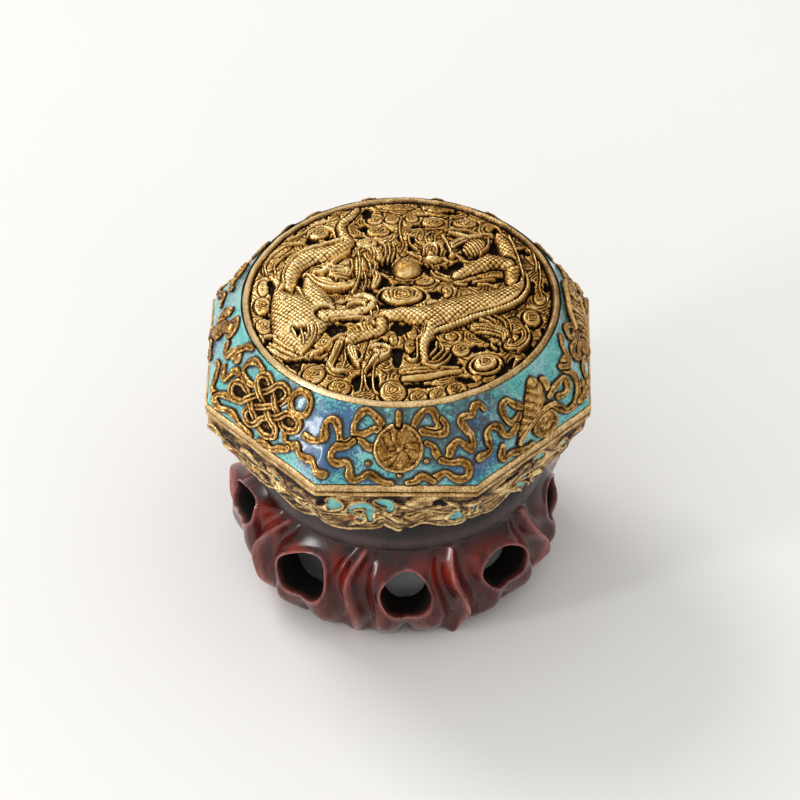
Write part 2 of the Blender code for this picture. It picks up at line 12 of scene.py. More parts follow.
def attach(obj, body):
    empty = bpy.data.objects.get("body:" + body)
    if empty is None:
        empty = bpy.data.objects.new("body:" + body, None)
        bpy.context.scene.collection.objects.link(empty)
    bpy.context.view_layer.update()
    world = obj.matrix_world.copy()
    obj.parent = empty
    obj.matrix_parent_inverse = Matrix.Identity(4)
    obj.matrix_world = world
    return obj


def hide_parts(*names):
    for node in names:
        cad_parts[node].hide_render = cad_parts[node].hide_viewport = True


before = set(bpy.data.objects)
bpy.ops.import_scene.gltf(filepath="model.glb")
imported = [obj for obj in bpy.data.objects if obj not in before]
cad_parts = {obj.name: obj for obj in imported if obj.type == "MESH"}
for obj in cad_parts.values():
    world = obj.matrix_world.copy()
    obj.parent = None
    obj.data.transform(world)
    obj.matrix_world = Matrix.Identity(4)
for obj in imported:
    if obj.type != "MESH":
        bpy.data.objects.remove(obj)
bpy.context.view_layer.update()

MM = 0.001
SIDES = 8
TURN = 2 * math.pi

# Heights of the CAD model above the ground
STAND_TOP = 27.7
COLLAR_BOTTOM = 21.5
CAVITY_TOP = 22.5
SEAT_FLOOR = 26.5
BODY_BOTTOM = 28.0
SKIRT_HEIGHT = 31.3
LIP_BOTTOM = 44.1
BODY_TOP = 45.0
FLANGE_TOP = 46.6
LID_BOTTOM = 45.3
RIM_TOP = 46.8
SLOPE_HEIGHT = 12.25  # from the top of the rim up to the ring
FLOOR_LEVEL = 58.5

# Widths of the CAD model
RIM_APOTHEM = 35.0
EXTRA_DEPTH = 1.0  # how much further out the front and the back stand
PANEL_APOTHEM = 34.55
PANEL_BULGE = 0.45
LID_INNER_APOTHEM = 33.1
RING_RADIUS = 28.7
RING_SHIFT = 0.4  # the ring and its medallion sit a little off the middle, in X
MEDALLION_RADIUS = 27.4
BODY_APOTHEM = 34.9
WALL_APOTHEM = 34.2
FLANGE_APOTHEM = 32.75
FLANGE_INNER = 31.45
SKIRT_RADIUS = 30.1
SEAT_RADIUS = 25.0

# Grids that the carving is pressed onto
BAND_RADIUS = 32.0  # radius at which the panels and the wall are unrolled
BAND_LENGTH = TURN * BAND_RADIUS
PANEL_SPAN = BAND_LENGTH / SIDES
PANEL_SLOPE = 13.2
WALL_SLOPE = 15.0
BAND_COLUMNS = 1552
WALL_COLUMNS = 960
MEDALLION_STEP = 0.165


def smooth_step(value):
    value = np.clip(value, 0.0, 1.0)
    return value * value * (3 - 2 * value)


def hump(value, middle, width):
    return np.exp(-(((value - middle) / width) ** 2))


def spline(points, steps=7):
    """Points along a smooth curve through the given ones, each of any number of values."""
    rows = np.array([points[0], *points, points[-1]], float)
    track = []
    for i in range(1, len(rows) - 2):
        before, start, end, after = rows[i - 1 : i + 3]
        for t in np.arange(steps) / steps:
            bend = (2 * before - 5 * start + 4 * end - after) * t * t
            turn = (3 * start - before - 3 * end + after) * t**3
            track.append(0.5 * (2 * start + (end - before) * t + bend + turn))
    track.append(rows[-2])
    return np.array(track)


def soften(field, cells, wrap=False):
    """The field blurred over a number of cells."""
    reach = int(3 * cells) + 1
    kernel = np.exp(-0.5 * (np.arange(-reach, reach + 1) / cells) ** 2)
    kernel /= kernel.sum()
    for axis in (0, 1):
        mode = "wrap" if wrap and axis == 1 else "edge"
        pads = [(0, 0), (0, 0)]
        pads[axis] = (reach, reach)
        wide = np.pad(field, pads, mode=mode)
        total = 0.0
        for k, weight in enumerate(kernel):
            part = [slice(None), slice(None)]
            part[axis] = slice(k, k + field.shape[axis])
            total = total + weight * wide[tuple(part)]
        field = total
    return field


def patina_shade_and_sheen_of(height, wrap, strength=1.0, fine=0.16, broad=0.55, cells=3.2):
    """Half where flat, more on peaks and less in hollows of the finest chasing and the larger forms. It
    paints the gilt dark in the hollows, partly patina and partly painted shade, and bright on the peaks as a
    painted highlight.
    """
    small = strength * (height - soften(height, 1.2, wrap)) / fine
    large = strength * (height - soften(height, cells, wrap)) / broad
    return np.clip(0.5 + small + large, 0.0, 1.0)


class Relief:
    """Heights on a grid, in millimetres, that carved shapes are pressed onto one after the other."""

    def __init__(self, left, right, bottom, top, step, wrap=False):
        columns = int(round((right - left) / step)) + (0 if wrap else 1)
        rows = int(round((top - bottom) / step)) + 1
        self.wrap = wrap
        self.left, self.bottom = left, bottom
        self.step_x = (right - left) / (columns if wrap else columns - 1)
        self.step_y = (top - bottom) / (rows - 1)
        self.x = left + self.step_x * np.arange(columns)[None, :] * np.ones((rows, 1))
        self.y = bottom + self.step_y * np.arange(rows)[:, None] * np.ones((1, columns))
        self.height = np.zeros((rows, columns))
        self.edge = np.full((rows, columns), 9.0)  # distance to the nearest shape, less than 0 on it
        self.skin = np.zeros((rows, columns))  # one where scales go
        self.shift = 0.0  # added to the x of strokes and discs

    def window(self, left, right, bottom, top):
        """Rows, columns and coordinates of the part of the grid inside these limits."""
        rows, columns = self.height.shape
        first = int(math.floor((left - self.left) / self.step_x))
        last = int(math.ceil((right - self.left) / self.step_x)) + 1
        low = max(int(math.floor((bottom - self.bottom) / self.step_y)), 0)
        high = min(int(math.ceil((top - self.bottom) / self.step_y)) + 1, rows)
        if not self.wrap:
            first, last = max(first, 0), min(last, columns)
        across = np.arange(first, max(last, first))
        up = np.arange(low, max(high, low))
        xs, ys = np.meshgrid(self.left + self.step_x * across, self.bottom + self.step_y * up)
        return np.ix_(up, across % columns), xs, ys

    def merge(self, place, outside, height, moat, kept, skin=0.0):
        """Lays a shape over what is there; outside is the distance beyond its edge. The moat is a
        furrow beside the shape, where a share of the old height is kept."""
        self.skin[place] = np.where(outside <= 0, skin, self.skin[place])
        old = self.height[place]
        if moat > 0:
            old = old * (kept + (1 - kept) * smooth_step(np.where(outside > 0, outside / moat, 1.0)))
            old = np.where(outside <= 0, np.minimum(old, height), old)
        self.height[place] = np.where(outside <= 0, np.maximum(old, height), old)
        self.edge[place] = np.minimum(self.edge[place], outside)

    def stroke(self, points, half=0.55, rise=0.6, shape=None, moat=0.25, reach=1.6, kept=0.0, swell=0.0):
        """A strand through points of x, y and, if they aren't the same all along, half and rise.
        shape(away, along, side) gives its height as a share of its rise, and swell is how much its
        width comes and goes."""
        track = spline([(p[0] + self.shift, *p[1:], *(half, rise)[len(p) - 2 :]) for p in points])
        walked = np.cumsum(np.hypot(*np.diff(track[:, :2], axis=0, prepend=track[:1, :2]).T))
        track[:, 2] *= 1 + swell * np.sin(1.5 * walked + 2.0 * track[0, 0])
        wide = track[:, 2].max() + reach
        low, high = track.min(axis=0) - wide, track.max(axis=0) + wide
        place, xs, ys = self.window(low[0], high[0], low[1], high[1])
        if xs.size == 0:
            return
        best = np.full(xs.shape, 99.0)
        along, side, halves, rises = (np.zeros(xs.shape) for _ in range(4))
        travelled = 0.0
        for start, end in zip(track, track[1:]):
            dx, dy = end[0] - start[0], end[1] - start[1]
            length = math.hypot(dx, dy) + 1e-9
            low, high = np.minimum(start, end) - wide, np.maximum(start, end) + wide
            part = (slice(*np.searchsorted(ys[:, 0], (low[1], high[1]))),
                    slice(*np.searchsorted(xs[0], (low[0], high[0]))))
            px, py = xs[part] - start[0], ys[part] - start[1]
            t = np.clip((px * dx + py * dy) / length**2, 0.0, 1.0)
            width = start[2] + (end[2] - start[2]) * t
            distance = np.hypot(px - t * dx, py - t * dy)
            outside = distance - width
            nearer = outside < best[part]
            for field, value in (
                (best, outside), (along, travelled + t * length), (halves, width),
                (side, np.sign(dx * py - dy * px) * distance / width),
                (rises, start[3] + (end[3] - start[3]) * t),
            ):
                view = field[part]
                view[nearer] = value[nearer]
            travelled += length
        away = np.clip(1 + best / np.maximum(halves, 1e-6), 0.0, 1.0)
        height = rises * (shape or ribbon)(away, along, side * halves)
        self.merge(place, best, height, moat, kept, float(shape in (scaly, joined)))

    def oval(self, x, y, half_width, half_depth, turn, reach):
        """The part of the grid round an oval, as coordinates from its middle and as shares of its halves."""
        place, xs, ys = self.window(x - reach, x + reach, y - reach, y + reach)
        c, s = math.cos(turn), math.sin(turn)
        px, py = xs - x, ys - y
        return place, px, py, (px * c + py * s) / half_width, (py * c - px * s) / half_depth

    def disc(self, x, y, half_width, half_depth, shape, rise=1.0, turn=0.0, moat=0.25, kept=0.0):
        """An oval; shape(r, angle, x, y) gives its height as a share of its rise."""
        reach = max(half_width, half_depth) + 1.6
        place, px, py, u, v = self.oval(x + self.shift, y, half_width, half_depth, turn, reach)
        r = np.hypot(u, v)
        outside = (r - 1) * np.hypot(px, py) / np.maximum(r, 1e-6)
        outside = np.where(r < 1e-6, -min(half_width, half_depth), outside)
        height = rise * shape(np.minimum(r, 1.0), np.arctan2(v, u), u * half_width, v * half_depth)
        self.merge(place, outside, height, moat, kept)

    def pit(self, x, y, half_width, half_depth, turn=0.0, depth=0.0):
        """Presses an uneven oval down to the depth."""
        reach = 1.4 * max(half_width, half_depth)
        place, px, py, u, v = self.oval(x, y, half_width, half_depth, turn, reach)
        angle = np.arctan2(py, px)
        r = np.hypot(u, v) / (1 + 0.15 * np.sin(3 * angle + x) + 0.1 * np.sin(5 * angle + y))
        old = self.height[place]
        self.height[place] = depth + (old - depth) * smooth_step((r - 0.85) / 0.25)

    def roughen(self, amount, seed):
        """Adds the uneven skin of cast metal."""
        grains = np.random.default_rng(seed).normal(size=self.height.shape)
        for cells in (1.0, 2.6):
            skin = soften(grains, cells, self.wrap)
            self.height += amount * skin / skin.std()


# Cross-sections of strands and ovals
def ribbon(away, along, side):
    """A folded band with a furrow along its middle and a line beside each edge."""
    lines = 0.15 * hump(away, 0.0, 0.34) + 0.04 * hump(away, 0.66, 0.13)
    return np.sqrt(1 - 0.9 * away**4) - lines - 0.04 * np.sin(1.3 * along)


def laced(away, along, side):
    """A flat cord with a deep furrow along its middle."""
    return np.sqrt(1 - 0.9 * away**4) - 0.3 * hump(away, 0.0, 0.36)


def cord(away, along, side):
    return np.sqrt(1 - 0.97 * away**2)


def lined(depth, spacing, across=False):
    """A round body with soft lines along it, or bands across it."""
    def shape(away, along, side):
        return np.sqrt(1 - 0.9 * away**2) + depth * np.cos(TURN * (along if across else side) / spacing)
    return shape


leafy = lined(0.07, 0.9)
streaked = lined(0.12, 0.58)  # a lock of hair or a flame
banded = lined(0.07, 0.7, across=True)
spired = lined(0.1, 1.3, across=True)  # the whorls of a conch


def scaly(away, along, side):
    """A round body that scales are cut into later."""
    return np.sqrt(1 - 0.9 * away**2)


def joined(away, along, side):
    """The same, where a body grows out of another with no furrow between them."""
    return scaly(away, along, side)


def flat(r, angle, x, y):
    return 1 + 0 * r


def dome(r, angle, x, y):
    return np.sqrt(1 - 0.95 * r**2)


def spiral(r, angle, x, y):
    """A cloud curl: a flat disc with a scratched spiral line in it."""
    bent = np.hypot(x - 0.4, y - 0.3) + 0.16 * np.sin(2 * angle + 3 * x) + 0.08 * np.sin(5 * angle)
    line = (0.5 + 0.5 * np.cos(TURN * bent / 0.58 + angle)) ** 2
    return smooth_step(4.5 * (1 - r)) * (1 - 0.1 * line - 0.04 * r)


def rings(r, angle, x, y):
    bent = np.hypot(0.8 * x - 0.3, y) + 0.14 * np.sin(3 * angle + x)
    return smooth_step(5 * (1 - r)) * (1 - 0.07 * (0.5 + 0.5 * np.cos(TURN * bent / 0.56)) ** 2 - 0.08 * r**2)


def furred(r, angle, x, y):
    """A swelling under combed hair."""
    return np.sqrt(1 - 0.9 * r**2) + 0.07 * np.cos(TURN * (y + 0.5 * np.sin(0.9 * x)) / 0.6)


def stripes(r, angle, x, y):
    return np.sqrt(1 - 0.95 * r**2) + 0.1 * np.cos(TURN * x / 0.6)


# Pieces
def linked(name, data):
    """A new object in the scene."""
    made = bpy.data.objects.new(name, data)
    bpy.context.scene.collection.objects.link(made)
    return made


def add_piece(name, vertices, faces, look, node, fields):
    """A mesh piece that stands for a CAD node. vertices are in millimetres, fields values at them."""
    mesh = bpy.data.meshes.new(name)
    mesh.vertices.add(len(vertices))
    mesh.vertices.foreach_set("co", (np.asarray(vertices) * MM).astype(np.float32).ravel())
    mesh.loops.add(faces.size)
    mesh.loops.foreach_set("vertex_index", faces.astype(np.int32).ravel())
    mesh.polygons.add(len(faces))
    mesh.polygons.foreach_set("loop_start", np.arange(0, faces.size, faces.shape[1], dtype=np.int32))
    mesh.update(calc_edges=True)
    mesh.validate()
    mesh.shade_smooth()
    for key, values in fields.items():
        made = mesh.attributes.new(key, "FLOAT", "POINT")
        made.data.foreach_set("value", np.asarray(values, np.float32).ravel())
    mesh.materials.append(look)
    piece = linked(name, mesh)
    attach(piece, "root")
    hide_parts(node)
    return piece


def grid_faces(rows, columns, closed, keep=None):
    index = np.arange(rows * columns).reshape(rows, columns)
    if closed:
        index = np.hstack([index, index[:, :1]])
    faces = np.stack([index[:-1, :-1], index[:-1, 1:], index[1:, 1:], index[1:, :-1]], axis=-1)
    return faces[keep] if keep is not None else faces.reshape(-1, 4)


def add_sheet(name, points, look, node, closed, keep, fields):
    """A piece from a grid of points, rows by columns by 3. Rows run up and columns to the right,
    seen from outside."""
    rows, columns = points.shape[:2]
    faces = grid_faces(rows, columns, closed, keep)
    used, numbered = np.unique(faces, return_inverse=True)
    add_piece(name, points.reshape(-1, 3)[used], numbered.reshape(faces.shape), look, node,
              {key: values.reshape(-1)[used] for key, values in fields.items()})


# Edges that turn by more than this are drawn sharp
SHARP_TURNED, SHARP_CARVED = math.radians(35), math.radians(50)
HALF_SIDE = RIM_APOTHEM * math.tan(math.pi / SIDES)
SLANT = math.atan2(RIM_APOTHEM + EXTRA_DEPTH - HALF_SIDE, RIM_APOTHEM - HALF_SIDE)
SLANT_EXTRA = HALF_SIDE * math.cos(SLANT) + RIM_APOTHEM * math.sin(SLANT) - RIM_APOTHEM


def octagon(azimuth, apothem, roundness=0.0):
    """Distance from the axis to an octagon's side, blended towards a circle by roundness."""
    sides = ((0.0, EXTRA_DEPTH), (SLANT, SLANT_EXTRA), (math.pi / 2, 0.0), (math.pi - SLANT, SLANT_EXTRA))
    straight = np.full(np.shape(azimuth), 99.0)
    for normal, extra in sides:
        straight = np.minimum(straight, (apothem + extra) / np.maximum(np.abs(np.cos(azimuth - normal)), 0.1))
    return straight * (1 - roundness) + apothem * roundness


def at(azimuth, radius, height, shift=0.0):
    azimuth, radius, height = np.broadcast_arrays(azimuth, radius, height)
    return np.stack([radius * np.sin(azimuth) + shift, -radius * np.cos(azimuth), height], axis=-1)


def normals(points, closed):
    """Unit normals of a grid of points."""
    wide = np.concatenate([points[:, -1:], points, points[:, :1]], axis=1) if closed else points
    across = np.gradient(wide, axis=1)
    across = across[:, 1:-1] if closed else across
    normal = np.cross(across, np.gradient(points, axis=0))
    return normal / (np.linalg.norm(normal, axis=-1, keepdims=True) + 1e-12)


# The emblem panels. Each shape's x runs round the lid from the middle of its panel and y up its slope
FRONT, FRONT_RIGHT, RIGHT, BACK_RIGHT, BACK, BACK_LEFT, LEFT, FRONT_LEFT = range(SIDES)

RIBBONS = {
    FRONT: [
        [(-2.9, 10.7), (-4.2, 11.8), (-5.5, 12.5), (-6.8, 12.2), (-7.6, 11), (-7.9, 9.9), (-7.6, 8.8),
         (-6.6, 8.5), (-5.4, 9), (-4.4, 9.6), (-3.2, 9.7)],
        [(-3.4, 6.6), (-5, 6.7), (-6.2, 7.6), (-7.6, 7.6), (-8.8, 6.9), (-9.8, 7.3), (-10.3, 8.6),
         (-11, 9.9), (-12, 10.3), (-12.9, 9.8), (-12.9, 8.6), (-12.6, 7.6), (-13.3, 6.7), (-14.5, 6.2),
         (-16.1, 6.2)],
        [(-7.5, 7.5), (-8.6, 6.6), (-10.2, 6.3), (-10.9, 5.2), (-10.6, 4.2), (-9.6, 3.6), (-8.3, 3.9),
         (-7.6, 3), (-7.5, 1.8), (-6.8, 0.9), (-5.6, 1.2), (-4.6, 2), (-3.6, 1.6), (-2.6, 0.8),
         (-1.4, 0.4), (-0.8, 0.3)],
        [(3, 10.4), (4.2, 12), (5.7, 12.8), (6.9, 12.2), (7.3, 10.9), (7.4, 9.7), (6.4, 9.3), (4.4, 9.5)],
        [(8.3, 10.9), (8.9, 10), (8.5, 8.9), (7.4, 8.7), (5.6, 9), (4.4, 9.3)],
        [(5.2, 7.4), (6.3, 6.7), (6.8, 5.4), (7.6, 4.3), (8.6, 4.8), (9.2, 6.2), (10.4, 7.3), (11.4, 6.8),
         (12.4, 5.9), (13, 6.6), (12.9, 7.8), (12.2, 9), (11.6, 10.2), (12.4, 10.8), (13.8, 10.7),
         (14.7, 11.6), (15.9, 11.8), (16.5, 10.9)],
        [(7.6, 4.3), (9, 3.9), (10.6, 4), (11.6, 3.2), (11.4, 1.8), (10.3, 1), (9.2, 1.3), (8, 2.2),
         (6.8, 1.6), (5.6, 0.8)],
        [(2, 0.4), (3.2, 0.8), (4.2, 1.6), (5.2, 1.2), (6, 0.7)],
    ],
    FRONT_LEFT: [
        [(-5, 11.6), (-7.5, 11.9), (-9.2, 10.5), (-9.2, 9), (-8, 8.3), (-5.5, 8.4)],
        [(-9, 3.8), (-11.2, 2.8), (-11.5, 1.6), (-10.2, 0.8), (-8.6, 1.3), (-7, 1.6), (-5.5, 0.9),
         (-3.8, 0.5), (-2.2, 0.3)],
        [(5, 4.6), (5.6, 3.4), (7, 3.4), (8, 4.2), (8.8, 3), (10.2, 2.8), (11.5, 3.2), (12.6, 2),
         (13.7, 1.6)],
        [(0.2, 0.2), (1.6, 0.8), (3.2, 0.6), (4.4, 1.4), (6, 2.2), (6.4, 2.8)],
        [(-9.6, 8.2), (-11, 7.9), (-11.4, 6.6), (-11.8, 5.6), (-13, 6), (-13.8, 6.4)],
        [(-10.4, 12.8), (-12.2, 12), (-13, 10.5), (-13, 9.2)],
    ],
    FRONT_RIGHT: [
        [(-0.6, 7.6), (-2.4, 9.2), (-3.6, 10.4), (-4.8, 9.9), (-5, 8.4), (-4.4, 6.8), (-3, 6.3),
         (-1.8, 7)],
        [(-3, 5.4), (-4.6, 4.6), (-6, 5.2), (-6.6, 6.8), (-8, 7.6), (-9.2, 7), (-9.3, 5.6), (-9.2, 4.2),
         (-10.4, 3.8), (-11.6, 3.9)],
        [(-6.8, 3.5), (-7.4, 2.2), (-6.8, 1.2), (-5.4, 1.4), (-3.8, 0.8), (-2, 0.4), (-0.8, 0.4)],
        [(5.6, 6.5), (8, 7.2), (10.4, 7.2), (10.4, 5.6), (9.2, 4.9), (7.6, 5.2)],
        [(5.8, 4.4), (7, 3.2), (8, 2), (9.4, 1.8), (10.6, 2.2), (12, 4), (12.8, 5.4), (12.6, 6.8),
         (11.6, 8), (12, 9), (13.5, 9.3)],
        [(11.5, 1.6), (13, 2.4), (14, 3.2)],
    ],
    RIGHT: [
        [(-2.5, 8.8), (-4.4, 10.8), (-6, 11), (-6.4, 9.6), (-5, 8.6), (-2.8, 8.2)],
        [(-3, 7.6), (-5.6, 8), (-8, 8.2), (-8.6, 6.8), (-7.2, 5.8), (-5, 6.4), (-3, 6.8)],
        [(-14, 9), (-12.4, 8.2), (-11, 8.8), (-10.4, 10.6), (-9, 11.6)],
        [(-14, 2), (-12, 2.4), (-10.4, 1.4), (-8.8, 1.8), (-8.2, 3.4), (-6.6, 4.2), (-5, 3.2)],
        [(9, 7), (10.4, 9.2), (11.8, 9.4), (11.8, 7.6), (10.4, 6.4), (9, 6.6)],
        [(9, 6.2), (9.6, 4.4), (11, 3.6), (12.4, 4.4), (13.6, 3.6)],
        [(7.8, 2.2), (9, 1.2), (10.8, 1.6), (12, 0.8)],
    ],
    LEFT: [
        [(4, 8.6), (3.6, 10.6), (5, 12), (6.6, 11.2), (6.2, 9.4), (4.6, 8.6)],
        [(7.4, 8.4), (8.8, 7.4), (10.2, 8.2), (11, 10), (12.4, 10.6), (13.4, 9.6)],
        [(7.6, 4.2), (9.2, 5), (10.6, 4), (11.8, 2.6), (13.2, 2.4)],
        [(-7.6, 8.8), (-9, 7.6), (-10.4, 8.6), (-11.2, 10.4), (-12.6, 10.6)],
        [(-7.2, 4.4), (-9, 5.2), (-10.6, 4), (-11.6, 2.4), (-13.4, 2.6)],
        [(-4, 1.2), (-2.4, 0.5), (-0.6, 1.2), (1.2, 0.5), (3, 1)],
    ],
}

# Ribbons of the three hidden panels, whose emblems are of the traditional kind too
PLAIN_RIBBONS = [
    [(-4.6, 9.6), (-5.8, 11.6), (-7.6, 11.8), (-8.4, 10), (-7.2, 8.6), (-5, 8.6)],
    [(-4.8, 6.4), (-6.6, 7), (-8.4, 6), (-10, 6.8), (-10.6, 8.6), (-12, 9.4), (-13.2, 8.4)],
    [(-4.4, 3.4), (-6, 4.2), (-7.4, 3), (-8.8, 2), (-10.4, 2.8), (-12, 2)],
]

RIBBON_HALF = 0.66
RIBBON_SWELL = 0.16
WHEEL = (0.3, 6.6, 4.3)
WHEEL_SPOKES = 8
KNOT_LOOP = (6, 10.6, 2.1, 2.0)
KNOT_HALF, KNOT_RISE, OVER, UNDER = 0.68, 0.66, 0.9, 0.42
# The cord of the knot, as x and y, and its rise where it goes over or under another part
KNOT_UP = [
    (-7.8, 4.05), (-6.1, 4.8), (-5, 6.1, OVER), (-3.1, 8.2, UNDER), (-0.9, 10.1, OVER), (-0.1, 11.3),
    (1.4, 11.8), (2.8, 11.1), (2.6, 9.7), (1.1, 8.1, UNDER), (-1, 6.7, OVER), (-3.6, 5.1, UNDER),
    (-4.6, 3.8), (-4.1, 2.5), (-2.8, 2.1), (-1.4, 3.1, OVER), (-0.8, 4.4), (0.8, 5.5, UNDER),
    (2.8, 6.7, OVER), (4, 8), (5.6, 8.4),
]
KNOT_DOWN = [
    (5.6, 8.4), (7.1, 7.7), (7, 6.3), (5.3, 5.4), (3.8, 5.7), (2.8, 6.7, UNDER), (1.1, 8.1, OVER),
    (-0.9, 10.1, UNDER), (-1.8, 11), (-3.2, 11.5), (-4.8, 10.7), (-4.7, 9.2), (-3.1, 8.2, OVER),
    (-1, 6.7, UNDER), (0.8, 5.5, OVER), (2.7, 4.4), (2.8, 2.9), (1.1, 2.1), (-0.5, 2.4),
    (-1.4, 3.1, UNDER), (-3.6, 5.1, OVER), (-5, 6.1, UNDER), (-6, 7), (-7.8, 7.4), (-9.6, 6.4),
    (-9.4, 4.8), (-7.8, 4.05),
]
# Dark metal inside the knot and its loops, as x, y, half width and half depth
KNOT_GROUND = [
    (-1, 6.7, 3, 2.7), (-7.8, 5.7, 1.7, 1.4), (-3.2, 9.8, 1.4, 1.5), (1.4, 10.1, 1.5, 1.5),
    (5.3, 6.9, 1.7, 1.2), (1.1, 3.5, 1.6, 1.2), (-2.8, 3.4, 1.5, 1.2),
]


def coil(x, y, half_width, half_depth):
    """A closed loop of cord through points on an oval."""
    turns = np.linspace(0, TURN, 13)
    return [(x + half_width * math.cos(t), y + half_depth * math.sin(t)) for t in turns]


def press_wheel(band):
    x, y, radius = WHEEL

    def wheel(r, angle, px, py):
        swirl = angle + 0.9 * r + 0.25 * np.sin(3 * angle)
        petal = np.abs(np.cos(WHEEL_SPOKES / 2 * swirl)) ** 0.6 * smooth_step((r - 0.12) / 0.25)
        vein = hump(np.sin(WHEEL_SPOKES * swirl), 0, 0.3) * hump(r, 0.5, 0.2)
        return (0.7 + 0.3 * hump(r, 0.92, 0.07) + 0.26 * petal * smooth_step((0.86 - r) / 0.08)
                - 0.06 * vein + 0.25 * hump(r, 0, 0.13))

    band.disc(x, y, radius, radius, wheel, 0.7)
    band.stroke([(0.2, 10.6), (0.2, 12.3)], 0.7, 0.6, cord)
    for nub in ((-4.7, 3.8), (5, 4.3), (0.6, 1.7)):
        band.disc(*nub, 0.5, 0.5, dome, 0.5)


def press_knot(band):
    for ground in KNOT_GROUND:
        band.disc(*ground, flat, 0.12, moat=0.0)
    band.stroke(coil(*KNOT_LOOP), 0.7, 0.62)
    for points in (KNOT_UP, KNOT_DOWN):
        cord_points = [(x, y, KNOT_HALF, *rise) for x, y, *rise in points]
        band.stroke(cord_points, rise=KNOT_RISE, shape=laced, moat=0.0)


def press_conch(band):
    def mouth(r, angle, x, y):
        return 0.95 - 0.2 * r**2 + 0.06 * np.cos(TURN * np.hypot(x, y - 0.8) / 1.3)

    band.disc(3.0, 2.5, 2.9, 2.5, mouth, 0.8, turn=-0.15)
    band.disc(5.6, 9.0, 1.1, 1.5, rings, 0.85)
    band.stroke([(-3.2, 2.3, 0.5, 0.5), (-1.6, 4.1, 1.2, 0.8), (0.4, 5.7, 1.9, 0.95), (2, 7.1, 2.4, 1.0),
                 (2.9, 8.6, 2.2, 1.0), (3.1, 10, 1.5, 0.9), (3.3, 10.9, 0.7, 0.7)], shape=spired)
    band.stroke([(-3.4, 2.2), (-1.6, 3.4), (1, 4.6), (4, 5.2), (6, 4.9)], 0.5, 0.9)


def press_fish(band):
    middle = band.shift
    for turn in (-1, 1):
        band.shift = middle + 1.6 * turn
        band.stroke([(0.8 * turn + 2.6, 9.6, 0.5, 0.5), (0.2 * turn, 7.6, 1.3, 0.8),
                     (-0.9 * turn, 5.4, 1.7, 0.9), (-1.4 * turn - 1.6, 3.2, 1.1, 0.7),
                     (-1.2 * turn - 2.6, 1.6, 0.7, 0.5)], shape=scaly)
        for spread in (-0.7, 0.7):
            band.stroke([(-1.2 * turn - 2.6, 1.8, 0.5, 0.5), (-1.2 * turn - 3.2 + spread, 0.4, 0.7, 0.5)],
                        shape=streaked, moat=0.0)
        band.disc(0.8 * turn + 2.4, 9.9, 0.9, 1.1, dome, 0.75)


def press_parasol(band):
    def ribbed(away, along, side):
        return 0.75 * np.sqrt(1 - 0.9 * away**4) + 0.22 * np.cos(TURN * along / 1.05)

    band.stroke([(-1.6, 4.2, 2.6, 0.75), (2.6, 6.2, 3.4, 0.9), (7, 8.2, 2.4, 0.75)], shape=ribbed)
    for hem in ([(-2.6, 8.6), (-1, 10.4), (2, 11.4), (5.4, 11.8), (7.8, 11)],
                [(-3.4, 1.6), (-0.6, 1.9), (2.4, 3), (5.6, 4.2), (8.4, 5.6)]):
        band.stroke(hem, 0.5, 0.85, cord)


def press_lotus(band):
    for k in range(7):
        lean = (k - 3) * 0.42
        reach = 4.4 - 0.25 * abs(k - 3)
        tip = (reach * math.sin(lean), 4.6 + reach * math.cos(lean))
        half_way = (0.55 * tip[0] * 1.15, 4.6 + 0.5 * (tip[1] - 4.6))
        band.stroke([(0, 4.4, 0.5, 0.6), (*half_way, 1.15, 0.75), (*tip, 0.3, 0.5)], shape=streaked)
    band.disc(0, 4.2, 2.4, 1.3, rings, 0.8)


def press_vase(band):
    band.stroke([(0, 1.2, 1.6, 0.6), (0, 2.6, 1.1, 0.7), (0, 5, 2.6, 0.9), (0, 7, 2.9, 0.95),
                 (0, 9, 1.5, 0.85), (0, 10.4, 1.0, 0.7), (0, 11.6, 1.7, 0.6)], shape=banded)


def press_canopy(band):
    band.stroke([(-3.8, 6.4, 0.8, 0.6), (0, 8, 2.6, 0.95), (3.8, 6.4, 0.8, 0.6)], shape=banded)
    for k in range(5):
        x = (k - 2) * 1.7
        band.stroke([(x, 6, 0.6, 0.6), (x * 1.1, 3.6, 0.65, 0.6), (x * 1.2, 2, 0.3, 0.4)], shape=streaked)
    band.disc(0, 10.8, 0.9, 0.9, dome, 0.8)


EMBLEMS = {
    FRONT: press_wheel, FRONT_RIGHT: press_conch, RIGHT: press_parasol, BACK_RIGHT: press_lotus,
    BACK: press_canopy, BACK_LEFT: press_vase, LEFT: press_fish, FRONT_LEFT: press_knot,
}


def carve_lid_band():
    """The gilt ribbons and emblems that stand up from the enamel of the eight panels."""
    band = Relief(0.0, BAND_LENGTH, 0.0, PANEL_SLOPE, BAND_LENGTH / BAND_COLUMNS, wrap=True)
    mirrored = [[(-x, y) for x, y in points] for points in PLAIN_RIBBONS]
    for panel, press in EMBLEMS.items():
        band.shift = panel * PANEL_SPAN
        for points in RIBBONS.get(panel, PLAIN_RIBBONS + mirrored):
            band.stroke(points, RIBBON_HALF, swell=RIBBON_SWELL)
        press(band)
    return band


EMBLEM_RISE = 1.2  # how much prouder the emblems stand than they are pressed
EMBLEM_FOOT = 0.22  # least height of the metal over the enamel
BURIED = -0.35  # level of the metal's lower edge, hidden in the enamel
SEAM_LIFT = 0.15  # from the top of the rim to the lower edge of the panels
